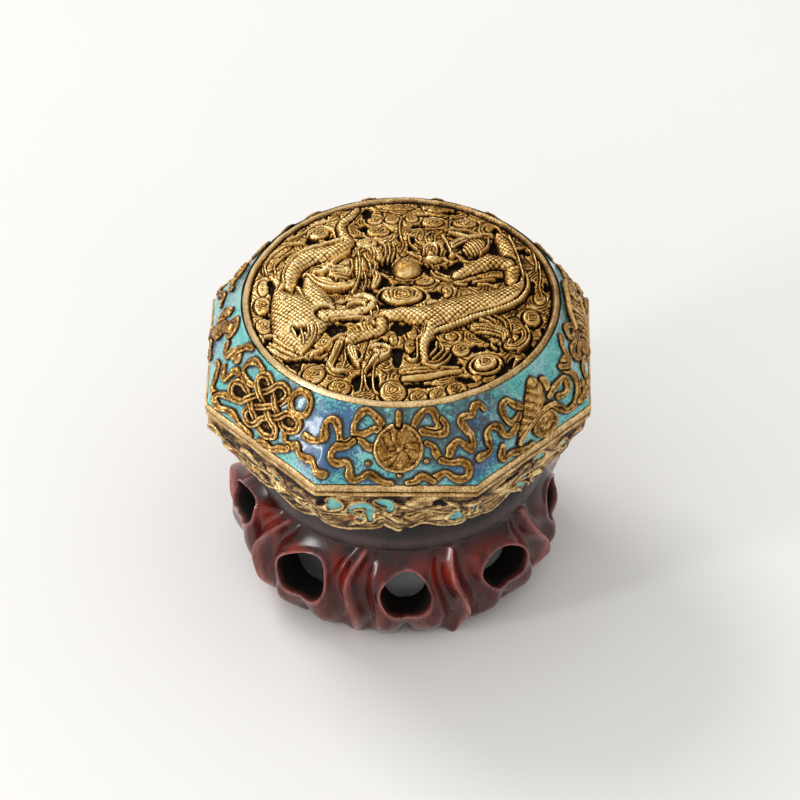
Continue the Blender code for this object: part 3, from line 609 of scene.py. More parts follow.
# Cobalt, mauve and dark clouds in the enamel, as x, y and size, and those measured back from the band's end
COBALT = (
    [(-10.6, 4.6, 3.4), (-9.4, 10.4, 3.2), (10.6, 2.2, 2.6), (15, 3, 3), (28, 6.6, 3), (13.5, 9, 3),
     (70, 6, 5), (105, 8, 6), (150, 4, 6)],
    [(10.6, 4.6, 3.6), (9.4, 10.6, 3.2), (3, 0.4, 2), (15.5, 8.5, 4.6), (13, 4.6, 3.4), (28, 5, 3.6)])
MAUVE = ([(18, 11.6, 4), (12, 3, 2), (60, 9, 5), (90, 4, 6), (125, 9, 6)], [(14.5, 2.4, 2.4), (35, 10, 5)])
MURK = (
    [(3, 12.6, 3.4), (7, 12.6, 3.6), (0, 0.3, 2.4), (17, 12.6, 3.6), (11, 11, 3.4), (3.6, 0.8, 2.2),
     (9.4, 8, 2.2), (14.5, 8, 2.6), (6.6, 4.4, 1.6), (50, 12, 6), (80, 2, 5), (120, 12, 6), (140, 12, 6)],
    [(26, 6.8, 2.6), (3, 12.6, 2.4), (22, 12.4, 3)])
MURK_STRENGTH = 1.5


def stain(x, y, spots, before, strength=1.0):
    """Soft spots in the enamel of the panels, between 0 and 1."""
    spots = spots + [(BAND_LENGTH - cx, cy, size) for cx, cy, size in before]
    total = sum(hump(np.hypot(x - cx, (y - cy) * 1.2), 0, size) for cx, cy, size in spots)
    return np.clip(strength * total, 0, 1)


def panel_points(x, y):
    """Places on the sloping panels for the band's x and y."""
    azimuth = x / BAND_RADIUS
    share = y / PANEL_SLOPE
    foot = octagon(azimuth, PANEL_APOTHEM)
    radius = foot + (RING_RADIUS + 0.3 - foot) * share + PANEL_BULGE * np.sin(math.pi * share)
    return at(azimuth, radius, RIM_TOP + SEAM_LIFT + (SLOPE_HEIGHT + 0.1) * share, RING_SHIFT * share)


def make_lid_band(enamel, gilt):
    band = carve_lid_band()
    band.roughen(0.03, seed=5)
    base = panel_points(band.x, band.y)
    outward = normals(base, True)
    inside = band.edge < 0
    metal = np.where(band.edge <= 0, np.maximum(EMBLEM_RISE * band.height, EMBLEM_FOOT),
                     np.maximum(EMBLEM_FOOT - 4.0 * band.edge, BURIED))
    keep = inside | np.roll(inside, -1, axis=1)
    # Painted shade and highlight: the gilt goes dark in hollows and low beside the enamel, partly patina and
    # partly painted shade, and bright on peaks
    patina_shade_and_sheen = np.where(inside, patina_shade_and_sheen_of(band.height, True, 0.6), 0.0)
    add_sheet("lid_emblems", base + outward * metal[..., None], gilt, "lid", True,
              keep[:-1] | keep[1:], {"patina_shade_and_sheen": patina_shade_and_sheen, "level": np.clip(metal / 1.15, 0, 1)})
    coarse = (slice(0, None, 2), slice(0, None, 2))
    x, y, edge = band.x[coarse], band.y[coarse], band.edge[coarse]
    pool = 0.1 * np.exp(-np.maximum(edge, 0) / 0.35) + 0.05 * np.sin(0.9 * x + 1.3 * y) * np.sin(1.7 * y)
    pool += 0.12 * hump(y, PANEL_SLOPE, 0.5)
    points = base[coarse] + outward[coarse] * pool[..., None]
    add_sheet("lid_enamel", points, enamel, "lid", True, None,
              {"gap": np.clip(edge, 0, 2), "cobalt": stain(x, y, *COBALT), "mauve": stain(x, y, *MAUVE),
               "murk": stain(x, y, *MURK, MURK_STRENGTH)})


# The medallion, in millimetres from its middle, carved from the back to the front. Cloud curls are x, y,
# half width, half depth, rise and turn, which may be left out; pits are the same without a rise; bodies
# are such ovals, or points of x, y, half width and rise; strands are points of x and y
CLOUDS = [
    (15.5, -17.8, 3.7, 2.9, 1.75, 0.4), (23.8, -5.5, 1.9, 2.6, 1.5, 0.1),
    (-15.2, -20.5, 2.2, 2.8, 1.25, -0.4), (-10.5, -24, 2.3, 2.2, 1.3), (-1, -25, 2.7, 3.1, 1.35),
    (3.6, -26.2, 1.8, 1.7, 1.1), (7, -25.6, 1.8, 1.7, 1.15), (10.4, -24.2, 2.1, 2.1, 1.35, 0.2),
    (11, -14.1, 1.9, 1.9, 1.5), (9.2, -10.6, 1.3, 1.2, 1.2), (-25.1, -2, 1.8, 2.6, 1.35),
    (-24.6, -7.6, 1.7, 2.4, 1.25, 0.2), (5.5, 21.4, 2.3, 1.4, 1.5), (11.4, 21.3, 2.6, 1.4, 1.5),
    (1.6, 22.6, 1.4, 1.3, 1.35), (-15.6, 18.4, 2.3, 1.9, 1.5), (-4.5, 18.6, 2.5, 1.6, 1.6),
    (-6.6, 15.2, 2.3, 1.5, 1.45), (21, -16.6, 1.9, 1.8, 1.2), (2.2, -10, 1.1, 1.9, 1.3),
    (1.9, -13.4, 1.2, 2, 1.3), (-1.1, -11.6, 0.9, 1.6, 1.2), (25.2, 0.4, 1.3, 2, 1.15),
    (26, 5.6, 1, 2.4, 1), (-25.1, 3, 1.2, 2.4, 1.1), (-2.5, 12, 1.3, 2.6, 1.6, 0.2),
    (-4.6, 12.2, 1.2, 2.4, 1.4, 0.3), (8.4, 1.6, 1.1, 2, 1.35), (5.8, -1.7, 1.3, 0.9, 1.6, 0.3),
    (12, 0.9, 1.2, 0.9, 1.4, 0.2), (20.6, 4.9, 1.2, 1, 1.3), (-13.6, -12.6, 2.3, 1.5, 1.4, 0.1),
    (-14.4, -15.4, 2, 1, 1.3, 0.1), (20.4, -12, 2, 2.6, 1.35, -0.4), (24.6, -11.4, 1.3, 1.7, 1.1, -0.3),
    (16, -24.2, 2.6, 1.5, 1, 0.6), (-2, 22.4, 1.6, 1.6, 1.3), (-5.2, 22, 1.7, 1.4, 1.3),
    (16.4, 19.6, 1.6, 1.1, 1.2, -0.7), (-21.8, 17.4, 2.6, 1.2, 1.3, 0.7), (7, 25.4, 3, 0.9, 1),
    (-1, 25.8, 3.4, 0.8, 1), (13.6, 23.9, 2, 0.8, 0.9, -0.5), (-24, 9.4, 1.3, 3, 1.3, -0.5),
    (-22.4, 13.2, 1.2, 3.2, 1.35, -0.8), (23.6, 12, 1.1, 3, 1.1, 0.4), (-16, 22, 2.2, 1, 1.1, 0.5),
    (4.3, 4.2, 2, 1.2, 1.7, 0.2), (1.2, 5.2, 2.8, 1, 1.5), (13.2, -21.4, 2, 0.9, 1, 0.3),
    (-19.5, -19.2, 1.8, 1.2, 0.9, -0.8),
]
PIT_SPREAD = 1.22
PAW_HOLLOW = (-18.3, -9.7, 1.6, 1.1, 0.1, 0.3)
PITS = [
    (3.4, -23.1, 2.4, 0.4, 0.02), (12.1, -21.6, 1.1, 0.5), (-2.9, -12.6, 1, 0.6, 0.4),
    (-0.2, -15.6, 0.6, 1.4), (-2.9, 8.2, 1.2, 1.8, 0.3), (4.9, 8, 1.1, 1.6, 0.1), (7.4, 8, 0.8, 1),
    (10, 7.9, 1.7, 1.7), (-5.4, 1, 0.7, 1.6, 0.5), (-3, -2.7, 2.2, 0.6, -0.1), (2.2, -3, 1.6, 0.5),
    (6.4, 0.7, 1.1, 1), (0.2, -8.6, 1.7, 1.3), (-11.6, -8.6, 1.6, 1.5), (-9, -6.3, 1.7, 0.6, 0.1),
    (-3.6, 4, 1.3, 1.5), (0.4, 3.3, 1.5, 0.6, 0.1), (6.2, -13.4, 1, 2.4), (8, -16.4, 1.6, 2, -0.6),
    (9.6, -18.2, 1.6, 0.8, 0.3), (14, -13.6, 1.2, 0.8), (17, -13.3, 1, 0.9), (14.4, -10.2, 2.9, 0.5, -0.75),
    (19, -18.4, 0.6, 2.9, -0.5), (23.1, -13.7, 0.7, 1.1, -0.3), (26, -8.8, 0.5, 1.2, 0.1),
    (24.2, -3, 1.4, 0.4, -0.4), (23.6, 3.4, 0.6, 1.6), (26.6, 3.6, 0.6, 1), (14.6, 4.6, 4.2, 0.9, 0.25),
    (16.8, 14.2, 0.8, 2, -0.1), (12.6, 10.9, 1.4, 0.7, 0.3), (11.4, 12.2, 0.8, 0.6),
    (10, 18.6, 2.8, 0.6, -0.3), (2, 16.4, 0.7, 0.9), (2, 13.8, 1, 0.7), (-0.4, 17, 0.5, 0.9),
    (-6.7, 24.3, 0.8, 1.5), (-7.2, 19.6, 0.8, 0.8), (-7.7, 17, 0.8, 0.5), (-16.8, 16, 1.1, 0.8),
    (-12.6, 10.7, 1.3, 0.6, 0.2), (-18.5, 5.4, 0.5, 2.4, 0.2), (-23.6, 3.2, 0.6, 1.8, 0.1),
    (-24.1, -4.9, 0.8, 0.6), (-23.4, -11.2, 0.8, 1.4, -0.6), (-16.6, -16.8, 4, 0.6, -0.05),
    (-18.8, -18, 1.6, 0.8, -0.7), (-7.4, -22.4, 0.8, 1.9), (-5.2, -22.4, 0.7, 1.5), (-3.9, -23.4, 0.4, 2),
    (3.8, -23.2, 2.6, 0.6), (12, -21.6, 1.6, 0.7, -0.3), (-0.4, -15.4, 0.9, 2.2),
    (2.4, -16.1, 0.8, 0.6, 0.4), (-10.6, 3.7, 1.6, 0.6, -0.1), (-13, 1.6, 3.4, 0.6, -0.15),
    (-3.4, -12.5, 1.5, 0.8, 0.5), (22.2, 13.4, 1.2, 0.7, -0.6), (4, 23.7, 1.4, 0.4), (8.8, 24.6, 1.4, 0.5),
    (2.7, 20.4, 1.1, 0.6), (-13.5, 16.6, 0.7, 0.9), (17, 19, 0.6, 0.9), (-9.6, -1.6, 1.2, 0.5, 0.2),
    (-8.8, -3.4, 1.7, 0.5, 0.15),
]
BODIES = [
    # the left dragon: tail, arched back, chest, the neck that turns up to the head, and a foreleg
    (scaly, [(-8.6, 25.4, 0.7, 1.3), (-9.6, 23.4, 0.9, 1.5), (-11.3, 20.6, 1, 1.6), (-11, 17.8, 1.1, 1.7),
             (-10.3, 15, 1.6, 1.8), (-13.2, 12.6, 2.1, 1.9), (-17.4, 11, 2.3, 2), (-20, 7.2, 1.8, 2.1),
             (-20.6, 3.6, 1.5, 2.1), (-21.4, 0.6, 1.7, 2)]),
    (scaly, [(-22, 0.6, 1.4, 1.9), (-20.4, -2.2, 3.2, 2.2), (-18.2, -4.8, 5.2, 2.4),
             (-18.4, -8.6, 4.6, 2.2), (-18, -12, 2.6, 1.7), (-17.6, -14.4, 0.8, 1.3)]),
    (joined, [(-13.2, -5.4, 1.8, 1.9), (-14.6, -2.8, 2.9, 2.2), (-15.8, 0.2, 2.5, 2.25),
              (-16.6, 2.8, 1.4, 2.15), (-17, 5, 0.8, 1.9)]),
    (scaly, [(-13.6, -5.2, 1.8, 1.9), (-10.4, -4.8, 1.1, 1.8), (-7.6, -4.4, 1.1, 1.9), (-5.4, -3, 0.9, 2),
             (-5, -1.4, 0.8, 2), (-6.6, -0.2, 0.7, 1.9), (-8.4, -0.6, 0.5, 1.8)]),
    # the right dragon: loins, arched back, neck and haunch
    (scaly, [(-3.8, -7.4, 1.1, 1.7), (-2.8, -5.6, 1.4, 2), (1, -5, 1.9, 2.1), (5, -5.4, 2.7, 2.3),
             (10, -3.8, 3.3, 2.4), (15, -1.9, 3.2, 2.4), (19.4, 0.2, 2.8, 2.3), (21.6, 3.4, 1.6, 2.1),
             (21.2, 7, 1, 1.9)]),
    (scaly, [(20.2, 4.6, 1.3, 1.9), (20.2, 8.4, 1.6, 2.1), (19.6, 12, 1.5, 2), (18.8, 15, 1.5, 1.9),
             (17.6, 17.4, 1, 1.7)]),
    (scaly, [(19.4, 9.4, 1.6, 2), (16.2, 9.8, 2, 2.1), (12.8, 7.8, 1.5, 2), (10, 5.8, 0.9, 1.8)]),
    (banded, [(5.4, -10.2, 0.4, 1.8), (9, -8.4, 0.55, 2), (13, -6, 0.6, 2), (18, -3.6, 0.6, 2.1),
              (21.4, -1, 0.6, 2), (23, 2.6, 0.5, 1.9), (22.9, 6, 0.4, 1.8)]),
    (scaly, [(-3.4, -7, 1.2, 1.9), (-3.6, -9.4, 1.1, 1.8), (-6.6, -10.8, 1.2, 1.8), (-9.4, -11.8, 1.7, 2),
             (-9.4, -13.8, 1.4, 1.9)]),
    (joined, [(6.6, -6.4, 2.1, 2.2), (5.6, -8.8, 1.8, 2.15), (4.6, -11.4, 1.2, 2), (4.2, -14.2, 1, 1.85),
              (4.6, -17.4, 0.9, 1.6)]),
    (streaked, [(13.4, -8.2, 1, 1.5), (16, -8.6, 1.7, 1.7), (18.6, -9.4, 1.4, 1.6), (19, -11, 0.7, 1.4)]),
    (stripes, (13.4, 14.4, 2.7, 2.3, 1.9, 0.6)),
    # the claws of the paw in front, the curl beside it and two clouds on the right
    (streaked, [(-10.4, -11.6, 0.8, 1.8), (-12.4, -13.2, 0.7, 1.7), (-14.2, -15.4, 0.4, 1.5)]),
    (streaked, [(-10.8, -13, 0.9, 1.9), (-11.7, -16, 0.7, 1.8), (-12.4, -18.8, 0.8, 1.7),
                (-11.2, -20.3, 0.6, 1.6), (-9.4, -20.4, 0.4, 1.5)]),
    (streaked, [(-8.6, -14.4, 1.3, 1.9), (-8.2, -16.4, 1, 1.8), (-7.4, -18.6, 0.5, 1.6)]),
    (streaked, [(-2.2, -15, 1, 1.7), (-3.4, -15.9, 1.3, 1.8), (-4.8, -18, 0.8, 1.6), (-6, -20.2, 0.4, 1.4)]),
    (streaked, [(20.4, -9, 0.5, 1.4), (22.2, -8.6, 0.9, 1.5), (22.6, -10.8, 1.1, 1.6),
                (21.2, -13, 1.3, 1.6), (19.4, -13, 0.9, 1.5), (19.8, -11.2, 0.6, 1.4)]),
    (rings, (23.7, -5.3, 1.8, 2.4, 1.5, 0.25)),
    # the cloud that carries both, and the pearl's cloud
    (cord, [(1, -21.6, 0.8, 1.3), (4.6, -21.2, 0.9, 1.5), (8.4, -20.2, 0.7, 1.5), (11, -19.6, 0.5, 1.4)]),
    (streaked, [(0.6, -19.8, 0.8, 1.3), (4, -19.4, 0.9, 1.4), (8, -18.9, 0.5, 1.3), (10.6, -18.8, 0.3, 1.2)]),
    (rings, (0.2, 0.1, 4.3, 2.6, 1.65, 0.05)),
    (rings, (15.4, -17.9, 2.4, 1.8, 2, 0.4)),
    # heads: brow, cheek, snout and jaw of the left one; skull and snout of the right one
    (furred, (-10.4, 8.4, 3.4, 1.7, 1.7, 0.9)),
    (furred, (-11.4, 6.2, 3.8, 1.9, 1.9, 0.35)),
    (furred, (-7.6, 8.2, 1.5, 3.6, 1.7, 0.1)),
    (furred, (-13.6, 4, 2.8, 1.3, 1.8, -0.5)),
    (cord, [(-17.2, 5.8, 0.35, 1.9), (-15.2, 3, 0.4, 2), (-12.2, 1.8, 0.4, 2.1), (-9.4, 2.3, 0.4, 2.1),
            (-7.8, 3.6, 0.3, 2)]),
    (cord, [(-16.4, 5.6, 0.25, 1.9), (-14.8, 3.9, 0.3, 2), (-12.4, 2.8, 0.3, 2), (-10, 2.9, 0.25, 2)]),
    (cord, [(-16, 6.2, 0.4, 2.2), (-14, 6.2, 0.45, 2.4), (-13, 8, 0.5, 2.5), (-11.4, 10, 0.5, 2.5),
            (-10, 11.6, 0.4, 2.3), (-9.6, 13, 0.25, 2)]),
    (streaked, [(-5.6, 6.4, 1, 2.1), (-4.4, 5, 0.9, 1.9), (-5, 2.8, 0.6, 1.7)]),
    (furred, (7.2, 14.2, 2.6, 2.4, 1.7, 1.2)),
    (furred, (5.2, 13, 1.6, 1.7, 2, 0.2)),
    (furred, (5.6, 10.2, 1.9, 1, 1.9, 0.1)),
    (dome, (9.2, 11.3, 0.8, 0.7, 2.1, 0.3)),
    (cord, [(4, 11.8, 0.25, 2.1), (4.2, 13.2, 0.3, 2.3), (5.2, 14, 0.3, 2.3), (6.1, 13.2, 0.3, 2.3),
            (6.3, 11.8, 0.25, 2.1)]),
    (cord, [(15.8, 16.2, 0.3, 1.8), (15.7, 14, 0.35, 2), (14.4, 12, 0.3, 1.9)]),
    (streaked, [(9, 14, 1.2, 1.9), (11, 16, 0.9, 1.7), (13.6, 17.4, 0.7, 1.6), (16.4, 17.6, 0.6, 1.6)]),
]
STRANDS = [
    # ridges along the backs
    [(-22.4, 0.4), (-21.3, 2.8), (-21.6, 5.4), (-20.8, 8.6), (-18.6, 11.8), (-14.6, 14), (-10.8, 15.6)],
    [(19.6, 17), (20.6, 14), (21.3, 11), (21.9, 8), (22.3, 5.6)],
    [(-12.6, -6.4), (-9.4, -5.8), (-6.6, -5.8), (-4.6, -7.4)],
    # whiskers, horns and mane of the left dragon
    [(-9.2, 9.6), (-9, 7.6), (-9.4, 5.6)], [(-6, 9.4), (-5.6, 7.6), (-5.9, 5.8)],
    [(-5, 8.8), (-4.8, 7.2), (-5.2, 5.4)], [(-13.8, 8.4), (-12.4, 7.4), (-10.6, 7.2)],
    [(-14.4, 7.4), (-12.6, 6.4), (-10.4, 6.2)], [(-8.4, 12.2), (-7.6, 14), (-6.2, 13.4), (-5.6, 12)],
    [(-8, 12), (-7.7, 9.4), (-7.6, 6.4), (-8, 3), (-8.8, 0.6)], [(-6.8, 6.6), (-6.4, 4), (-6.9, 1.4)],
    [(-3.6, 9.4), (-3, 11.6), (-3.2, 14), (-4.4, 15.6)], [(-1.8, 10.4), (-1.4, 12.6), (-1.8, 14.8)],
    [(-5.4, 9.4), (-5, 11.6), (-5.6, 13.8)], [(-2.6, 9.8), (-2.2, 12.2), (-2.6, 14.6)],
    [(-0.4, 12.4), (0.2, 14.6), (-0.4, 17.6), (-0.6, 20.6), (-0.2, 23)],
    [(-3.6, 20.6), (-2.6, 19.4), (-1.6, 18.6)], [(-19, 2.4), (-18.2, 0.8), (-17.6, -0.6)],
    [(-22, -1.2), (-21.2, -1.6), (-20.6, -0.8)], [(-17.8, -9.6), (-17.4, -11.4), (-17.2, -12.8)],
    [(-16.6, -8.6), (-16.4, -10.4), (-16.8, -12)],
    [(-15.2, -8.4), (-15.2, -10.4), (-16, -13), (-17.6, -15.4)], [(-19.4, -9.4), (-18.6, -11.4)],
    [(-23.4, -12.4), (-21.4, -14), (-19, -15.6)], [(-23.8, -13.6), (-22, -15.2), (-20, -16.6)],
    [(-22.6, -11.2), (-20.8, -13), (-19, -14.4)], [(-24.4, -10.4), (-22.8, -10.2), (-22.2, -11)],
    # curl of the left foreleg
    [(-9.6, -2.6), (-8, -2), (-6.6, -2.4), (-6.4, -3.6)], [(-9.4, -1), (-7.8, -1.2), (-6.2, -1.4)],
    [(-4.4, -2.6), (-4, -4), (-4.8, -6), (-6, -7.6)], [(-5.4, -4.4), (-5.2, -5.8), (-5.9, -7)],
    # the paw in front, its claws and the curl beside it
    [(-10.4, -11), (-12.2, -12.6), (-13.6, -14.8), (-15.6, -16)],
    [(-10.8, -13.4), (-11.6, -16), (-12.6, -18.8)], [(-9.8, -14.6), (-9.6, -17), (-10.2, -19.4)],
    [(-12.6, -18.6), (-11.6, -20.2), (-9.6, -20.4)],
    [(-8.4, -14), (-7, -14.8), (-6.6, -16.2), (-7.4, -17.6)], [(-8.8, -16), (-8.2, -17.6), (-7.2, -19)],
    [(-5, -14.2), (-3, -14), (-1.9, -14.8), (-2, -16.2), (-3.4, -17)],
    [(-4.6, -15.2), (-3.6, -16), (-4.6, -17.8), (-6, -20.6)],
    [(-6.5, -19.6), (-6.5, -22.4), (-6.8, -25), (-7.6, -25.6)],
    [(-4.5, -19), (-4.6, -22), (-4.3, -24.8), (-3.6, -25.6)], [(-6.1, -21), (-5.8, -23.4), (-5.3, -24.6)],
    # hair beside the hind leg
    [(4.6, -8), (4.2, -10.6), (3.2, -11.6), (3.2, -14), (3.2, -16.8), (2.2, -17.4), (1.2, -16.4)],
    [(5.6, -15.6), (6.6, -14), (6.6, -12.4), (7.4, -13.6)],
    [(6, -17), (7.2, -15.6), (7.8, -14), (7.2, -12.8)],
    [(5.2, -17.6), (7, -17.2), (8, -15.8), (8.6, -14.6)],
    [(5.8, -18.4), (7.6, -18), (8.8, -16.6), (9.2, -15.4)], [(4.4, -18.4), (6.4, -19.2), (8, -18.2)],
    # claws behind the body
    [(15.6, -5.2), (17, -6.4), (17.6, -8)], [(17, -5), (18.6, -6.2), (19.2, -8.2)],
    [(18.6, -5), (19.8, -6.6), (20, -8.8)], [(14.4, -6.4), (15.8, -7.2), (16.8, -8.6)],
    [(22.6, -8), (23.3, -10), (22.8, -12.4), (21.2, -14.6)], [(17.6, -11.6), (16.4, -12.6), (17.4, -13.8)],
    # the hollow under the right dragon's neck
    [(13, 4.2), (15, 4.8), (17, 5.2)], [(14, 3.4), (15.6, 3.6), (17.4, 2.8)],
    [(9.6, 4), (11, 3.4), (12, 3.6)],
    # teeth, mane and horns of the right dragon
    [(4.2, 9), (4.8, 8.4)], [(5.4, 8.8), (5.8, 8.2)], [(6.6, 8.8), (6.8, 8)], [(7.6, 9.2), (8.2, 8.4)],
    [(5.4, 7), (6.2, 5.6), (7.6, 5), (8.8, 4.2)], [(6.4, 6.6), (7.4, 6), (8.4, 5.2)],
    [(4, 12.4), (4.8, 13.6), (6, 13.4), (6.4, 12.4)], [(4.5, 12), (5.1, 12.8), (5.8, 12.2)],
    [(7.2, 16.6), (8, 15), (8.6, 13.2), (9, 11.8)], [(9.6, 12), (10.8, 10.6), (12.2, 9.8), (13.6, 10)],
    [(4.6, 15.4), (4.2, 17), (5.2, 18.4)], [(6, 15.8), (6.2, 17.4), (7.4, 18.6)],
    [(2.8, 13), (1.4, 15), (1.2, 17.4)], [(3.4, 14.6), (2.4, 16.4), (3, 18.6)],
    [(0.8, 12.6), (1.8, 11.8), (3, 11)], [(7.8, 18.8), (9.6, 19.4), (12, 19), (14, 18)],
    [(8.6, 17.6), (10.4, 17.2), (12.6, 16.4), (14.6, 16.8)], [(7.6, 10.8), (8.4, 9.8), (7.8, 8.8)],
    # scrolls along the upper left edge
    [(-24.6, 6.4), (-25, 9), (-23.4, 12.4), (-20.4, 15), (-18, 15)],
    [(-23, 6.8), (-23.2, 9.2), (-21.2, 12), (-19.8, 13)],
    [(-21, 16.4), (-18.6, 18), (-16.4, 20.6), (-13.6, 22)],
    [(-17.6, 17.4), (-15.2, 20.2), (-13, 18.8), (-12.4, 16.8)], [(-14, 23.6), (-12, 24.4), (-10.4, 25.4)],
    [(25, 10.4), (25.4, 7), (25.2, 3.4), (25.6, 1)], [(24, 13), (24.6, 10), (24.6, 8)],
    [(19.8, 19), (22, 16.4), (23.6, 13.6)],
]
PEARL = (1.0, 7.5, 2.7)
EYES = ((-11.9, 4.2), (-10.4, 3.6), (5.2, 12.9))
PUPIL = 0.28
STRAND_HALF = 0.24
SCALE_SIZE = 1.05
SCALE_DEPTH = 0.26
CELL_SPACING = 4.1
CELL_CLEARANCE = 2.7
STRAND_RISE = 0.45  # over what a strand lies on
STRAND_LOWEST, STRAND_HIGHEST = 0.9, 2.6
MEDALLION_CROWN = 0.8
PAINTED_LIGHT_SIDE = 0.26  # painted light: how much brighter the gilt is painted on the left, where the light falls, and darker on the right, than in the middle


def cloud_cells(x, y):
    """Height, at x and y of the medallion, of a low ground of wave-like cells with rings in them."""
    centres = [(c[0], c[1]) for c in CLOUDS]
    for row in range(-7, 8):
        for column in range(-7, 8):
            cx = (column + 0.5 * (row % 2) + 0.2 * math.sin(5.1 * row + 2.3 * column)) * CELL_SPACING
            cy = (row + 0.2 * math.cos(3.7 * row - 4.1 * column)) * CELL_SPACING * 0.85
            if all(math.hypot(cx - a, cy - b) > CELL_CLEARANCE for a, b in centres):
                centres.append((cx, cy))
    first = second = np.full(x.shape, 99.0)
    for cx, cy in centres:
        away = np.hypot(x - cx, y - cy)
        second = np.minimum(second, np.maximum(first, away))
        first = np.minimum(first, away)
    furrow = smooth_step((second - first) / 0.5)
    wave = first + 0.3 * np.sin(1.1 * x + 0.5) * np.sin(0.9 * y + 1)
    return 0.72 + 0.2 * furrow + 0.06 * np.cos(TURN * wave / 0.58) * furrow


def carve_medallion():
    """Two dragons, the pearl between them and the clouds round them."""
    limits = (-MEDALLION_RADIUS, MEDALLION_RADIUS)
    relief = Relief(*limits, *limits, MEDALLION_STEP)
    relief.height = cloud_cells(relief.x, relief.y)
    for x, y, half_width, half_depth, rise, *turn in CLOUDS:
        relief.disc(x, y, half_width, half_depth, spiral, 0.74 + 0.34 * rise, *turn, moat=0.12, kept=0.6)
    for x, y, half_width, half_depth, *turn in PITS:
        relief.pit(x, y, PIT_SPREAD * half_width, PIT_SPREAD * half_depth, *turn)
    for shape, points in BODIES:
        if isinstance(points, tuple):
            relief.disc(*points[:4], shape, *points[4:], moat=0.3, kept=0.2)
        else:
            relief.stroke(points, shape=shape, moat=0.0 if shape is joined else 0.3, reach=0.6, kept=0.2)
    diamond = math.pi / SCALE_SIZE
    scales = np.sin(diamond * (relief.x + relief.y)) * np.sin(diamond * (relief.x - relief.y))
    relief.height += relief.skin * SCALE_DEPTH * (np.abs(scales) ** 0.5 - 0.7)
    relief.pit(*PAW_HOLLOW)
    for points in STRANDS:
        x, y = points[len(points) // 2]
        column = int((x - relief.left) / relief.step_x)
        row = int((y - relief.bottom) / relief.step_y)
        ground = relief.height[max(row - 2, 0) : row + 3, max(column - 2, 0) : column + 3].max()
        rise = min(max(ground, STRAND_LOWEST) + STRAND_RISE, STRAND_HIGHEST)
        relief.stroke(points, STRAND_HALF, rise, cord, moat=0.12, reach=0.4)
    for eye in EYES:
        relief.pit(*eye, 0.7, 0.5, 0.0, 0.8)
        relief.disc(*eye, PUPIL, PUPIL, dome, 2.0, moat=0.0)
    relief.disc(*PEARL[:2], PEARL[2], PEARL[2], dome, PEARL[2], moat=0.4)
    relief.roughen(0.02, seed=3)
    return relief


def make_medallion(gilt):
    relief = carve_medallion()
    radius = np.hypot(relief.x, relief.y)
    edge = smooth_step((MEDALLION_RADIUS - radius) / 0.3)
    pearl = hump(np.hypot(relief.x - PEARL[0], relief.y - PEARL[1]), 0, PEARL[2])
    height = relief.height * (0.35 + 0.65 * edge)
    crown = MEDALLION_CROWN * (1 - (radius / MEDALLION_RADIUS) ** 2)
    points = np.stack([relief.x + RING_SHIFT, relief.y, FLOOR_LEVEL + crown + height], axis=-1)
    inside = radius < MEDALLION_RADIUS + 0.05
    keep = inside[:-1, :-1] & inside[1:, :-1] & inside[:-1, 1:] & inside[1:, 1:]
    # The gilt's level: lower in the hollows, partly patina and partly painted shade; painted light on the
    # left half and painted shade on the right half; darker on the pearl
    level = 0.1 + height / 3.0 - PAINTED_LIGHT_SIDE * relief.x / MEDALLION_RADIUS - 0.5 * pearl
    add_sheet("lid_medallion", points, gilt, "lid", False, keep,
              {"patina_shade_and_sheen": patina_shade_and_sheen_of(relief.height, False), "level": np.clip(level, 0, 1)})


def add_turned(name, loops, look, node, columns=768):
    """A closed body round the axis. The loops are radius, height and level, where the radius is a number or a
    function of azimuth and the level, also either, is how gilt it is, and on the ring and the collar also how
    much painted light it carries. They run from the axis below, out, up the outside, over the top and back to
    the axis."""
    azimuth = np.arange(columns) * TURN / columns
    rows, levels = [], []
    for loop in loops:
        r, z, gilt_and_painted_light = (v(azimuth) if callable(v) else np.full(columns, float(v)) for v in loop)
        rows.append(at(azimuth, r, z))
        levels.append(gilt_and_painted_light)
    faces = grid_faces(len(rows), columns, True)
    last = len(rows) * columns
    around = np.arange(columns)
    beside = (around + 1) % columns
    top = last - columns
    low = np.stack([beside, around, np.full(columns, last)], axis=-1)
    high = np.stack([top + around, top + beside, np.full(columns, last + 1)], axis=-1)
    vertices = np.concatenate([*rows, [(0, 0, loops[0][1]), (0, 0, loops[-1][1])]])
    level = np.concatenate([*levels, levels[0][:1], levels[-1][:1]])
    triangles = np.concatenate([faces[:, [0, 1, 2]], faces[:, [0, 2, 3]], low, high])
    piece = add_piece(name, vertices, triangles, look, node,
                      {"level": level, "patina_shade_and_sheen": 0.3 + 0.5 * level})
    piece.data.set_sharp_from_angle(angle=SHARP_TURNED)
    return piece


def eight_sided(apothem, height, level, swing=0.0, roundness=0.0):
    """An octagonal loop, a little uneven where swing is more than nothing."""
    def radius(azimuth):
        uneven = swing * (np.sin(23 * azimuth) + 0.6 * np.sin(41 * azimuth + 1.0))
        return octagon(azimuth, apothem, roundness) + uneven
    return radius, height, level


def waver(height, swing=0.05):
    """Height of a loop that is a little uneven, as cast and chased metal is."""
    return lambda azimuth: height + swing * (np.sin(19 * azimuth) + 0.7 * np.sin(37 * azimuth + 2.0))


# Cross-section of the ring round the medallion: steps in from its radius, heights and gilding
RING_STEPS = [
    (0.35, 58.85, 0.6), (0.15, 59.3, 0.95), (-0.15, 59.68, 1.15), (-0.42, 59.92, 1.2), (-0.75, 59.9, 1.2),
    (-0.98, 59.65, 0.8), (-1.12, 59.25, 0.2), (-1.25, 59.1, 0.1), (-1.4, 58.4, 0),
]
# Painted light: the ring's gilt is painted brighter towards its lit left side and darker on the far side
RING_PAINTED_LIGHT_AZIMUTH = math.radians(-70)
INNERMOST = 5  # radius of the smallest loops of a turned body
LID_CEILING = 56.95
BODY_FLOOR = 30.0
FOOT_BOTTOM = 26.8


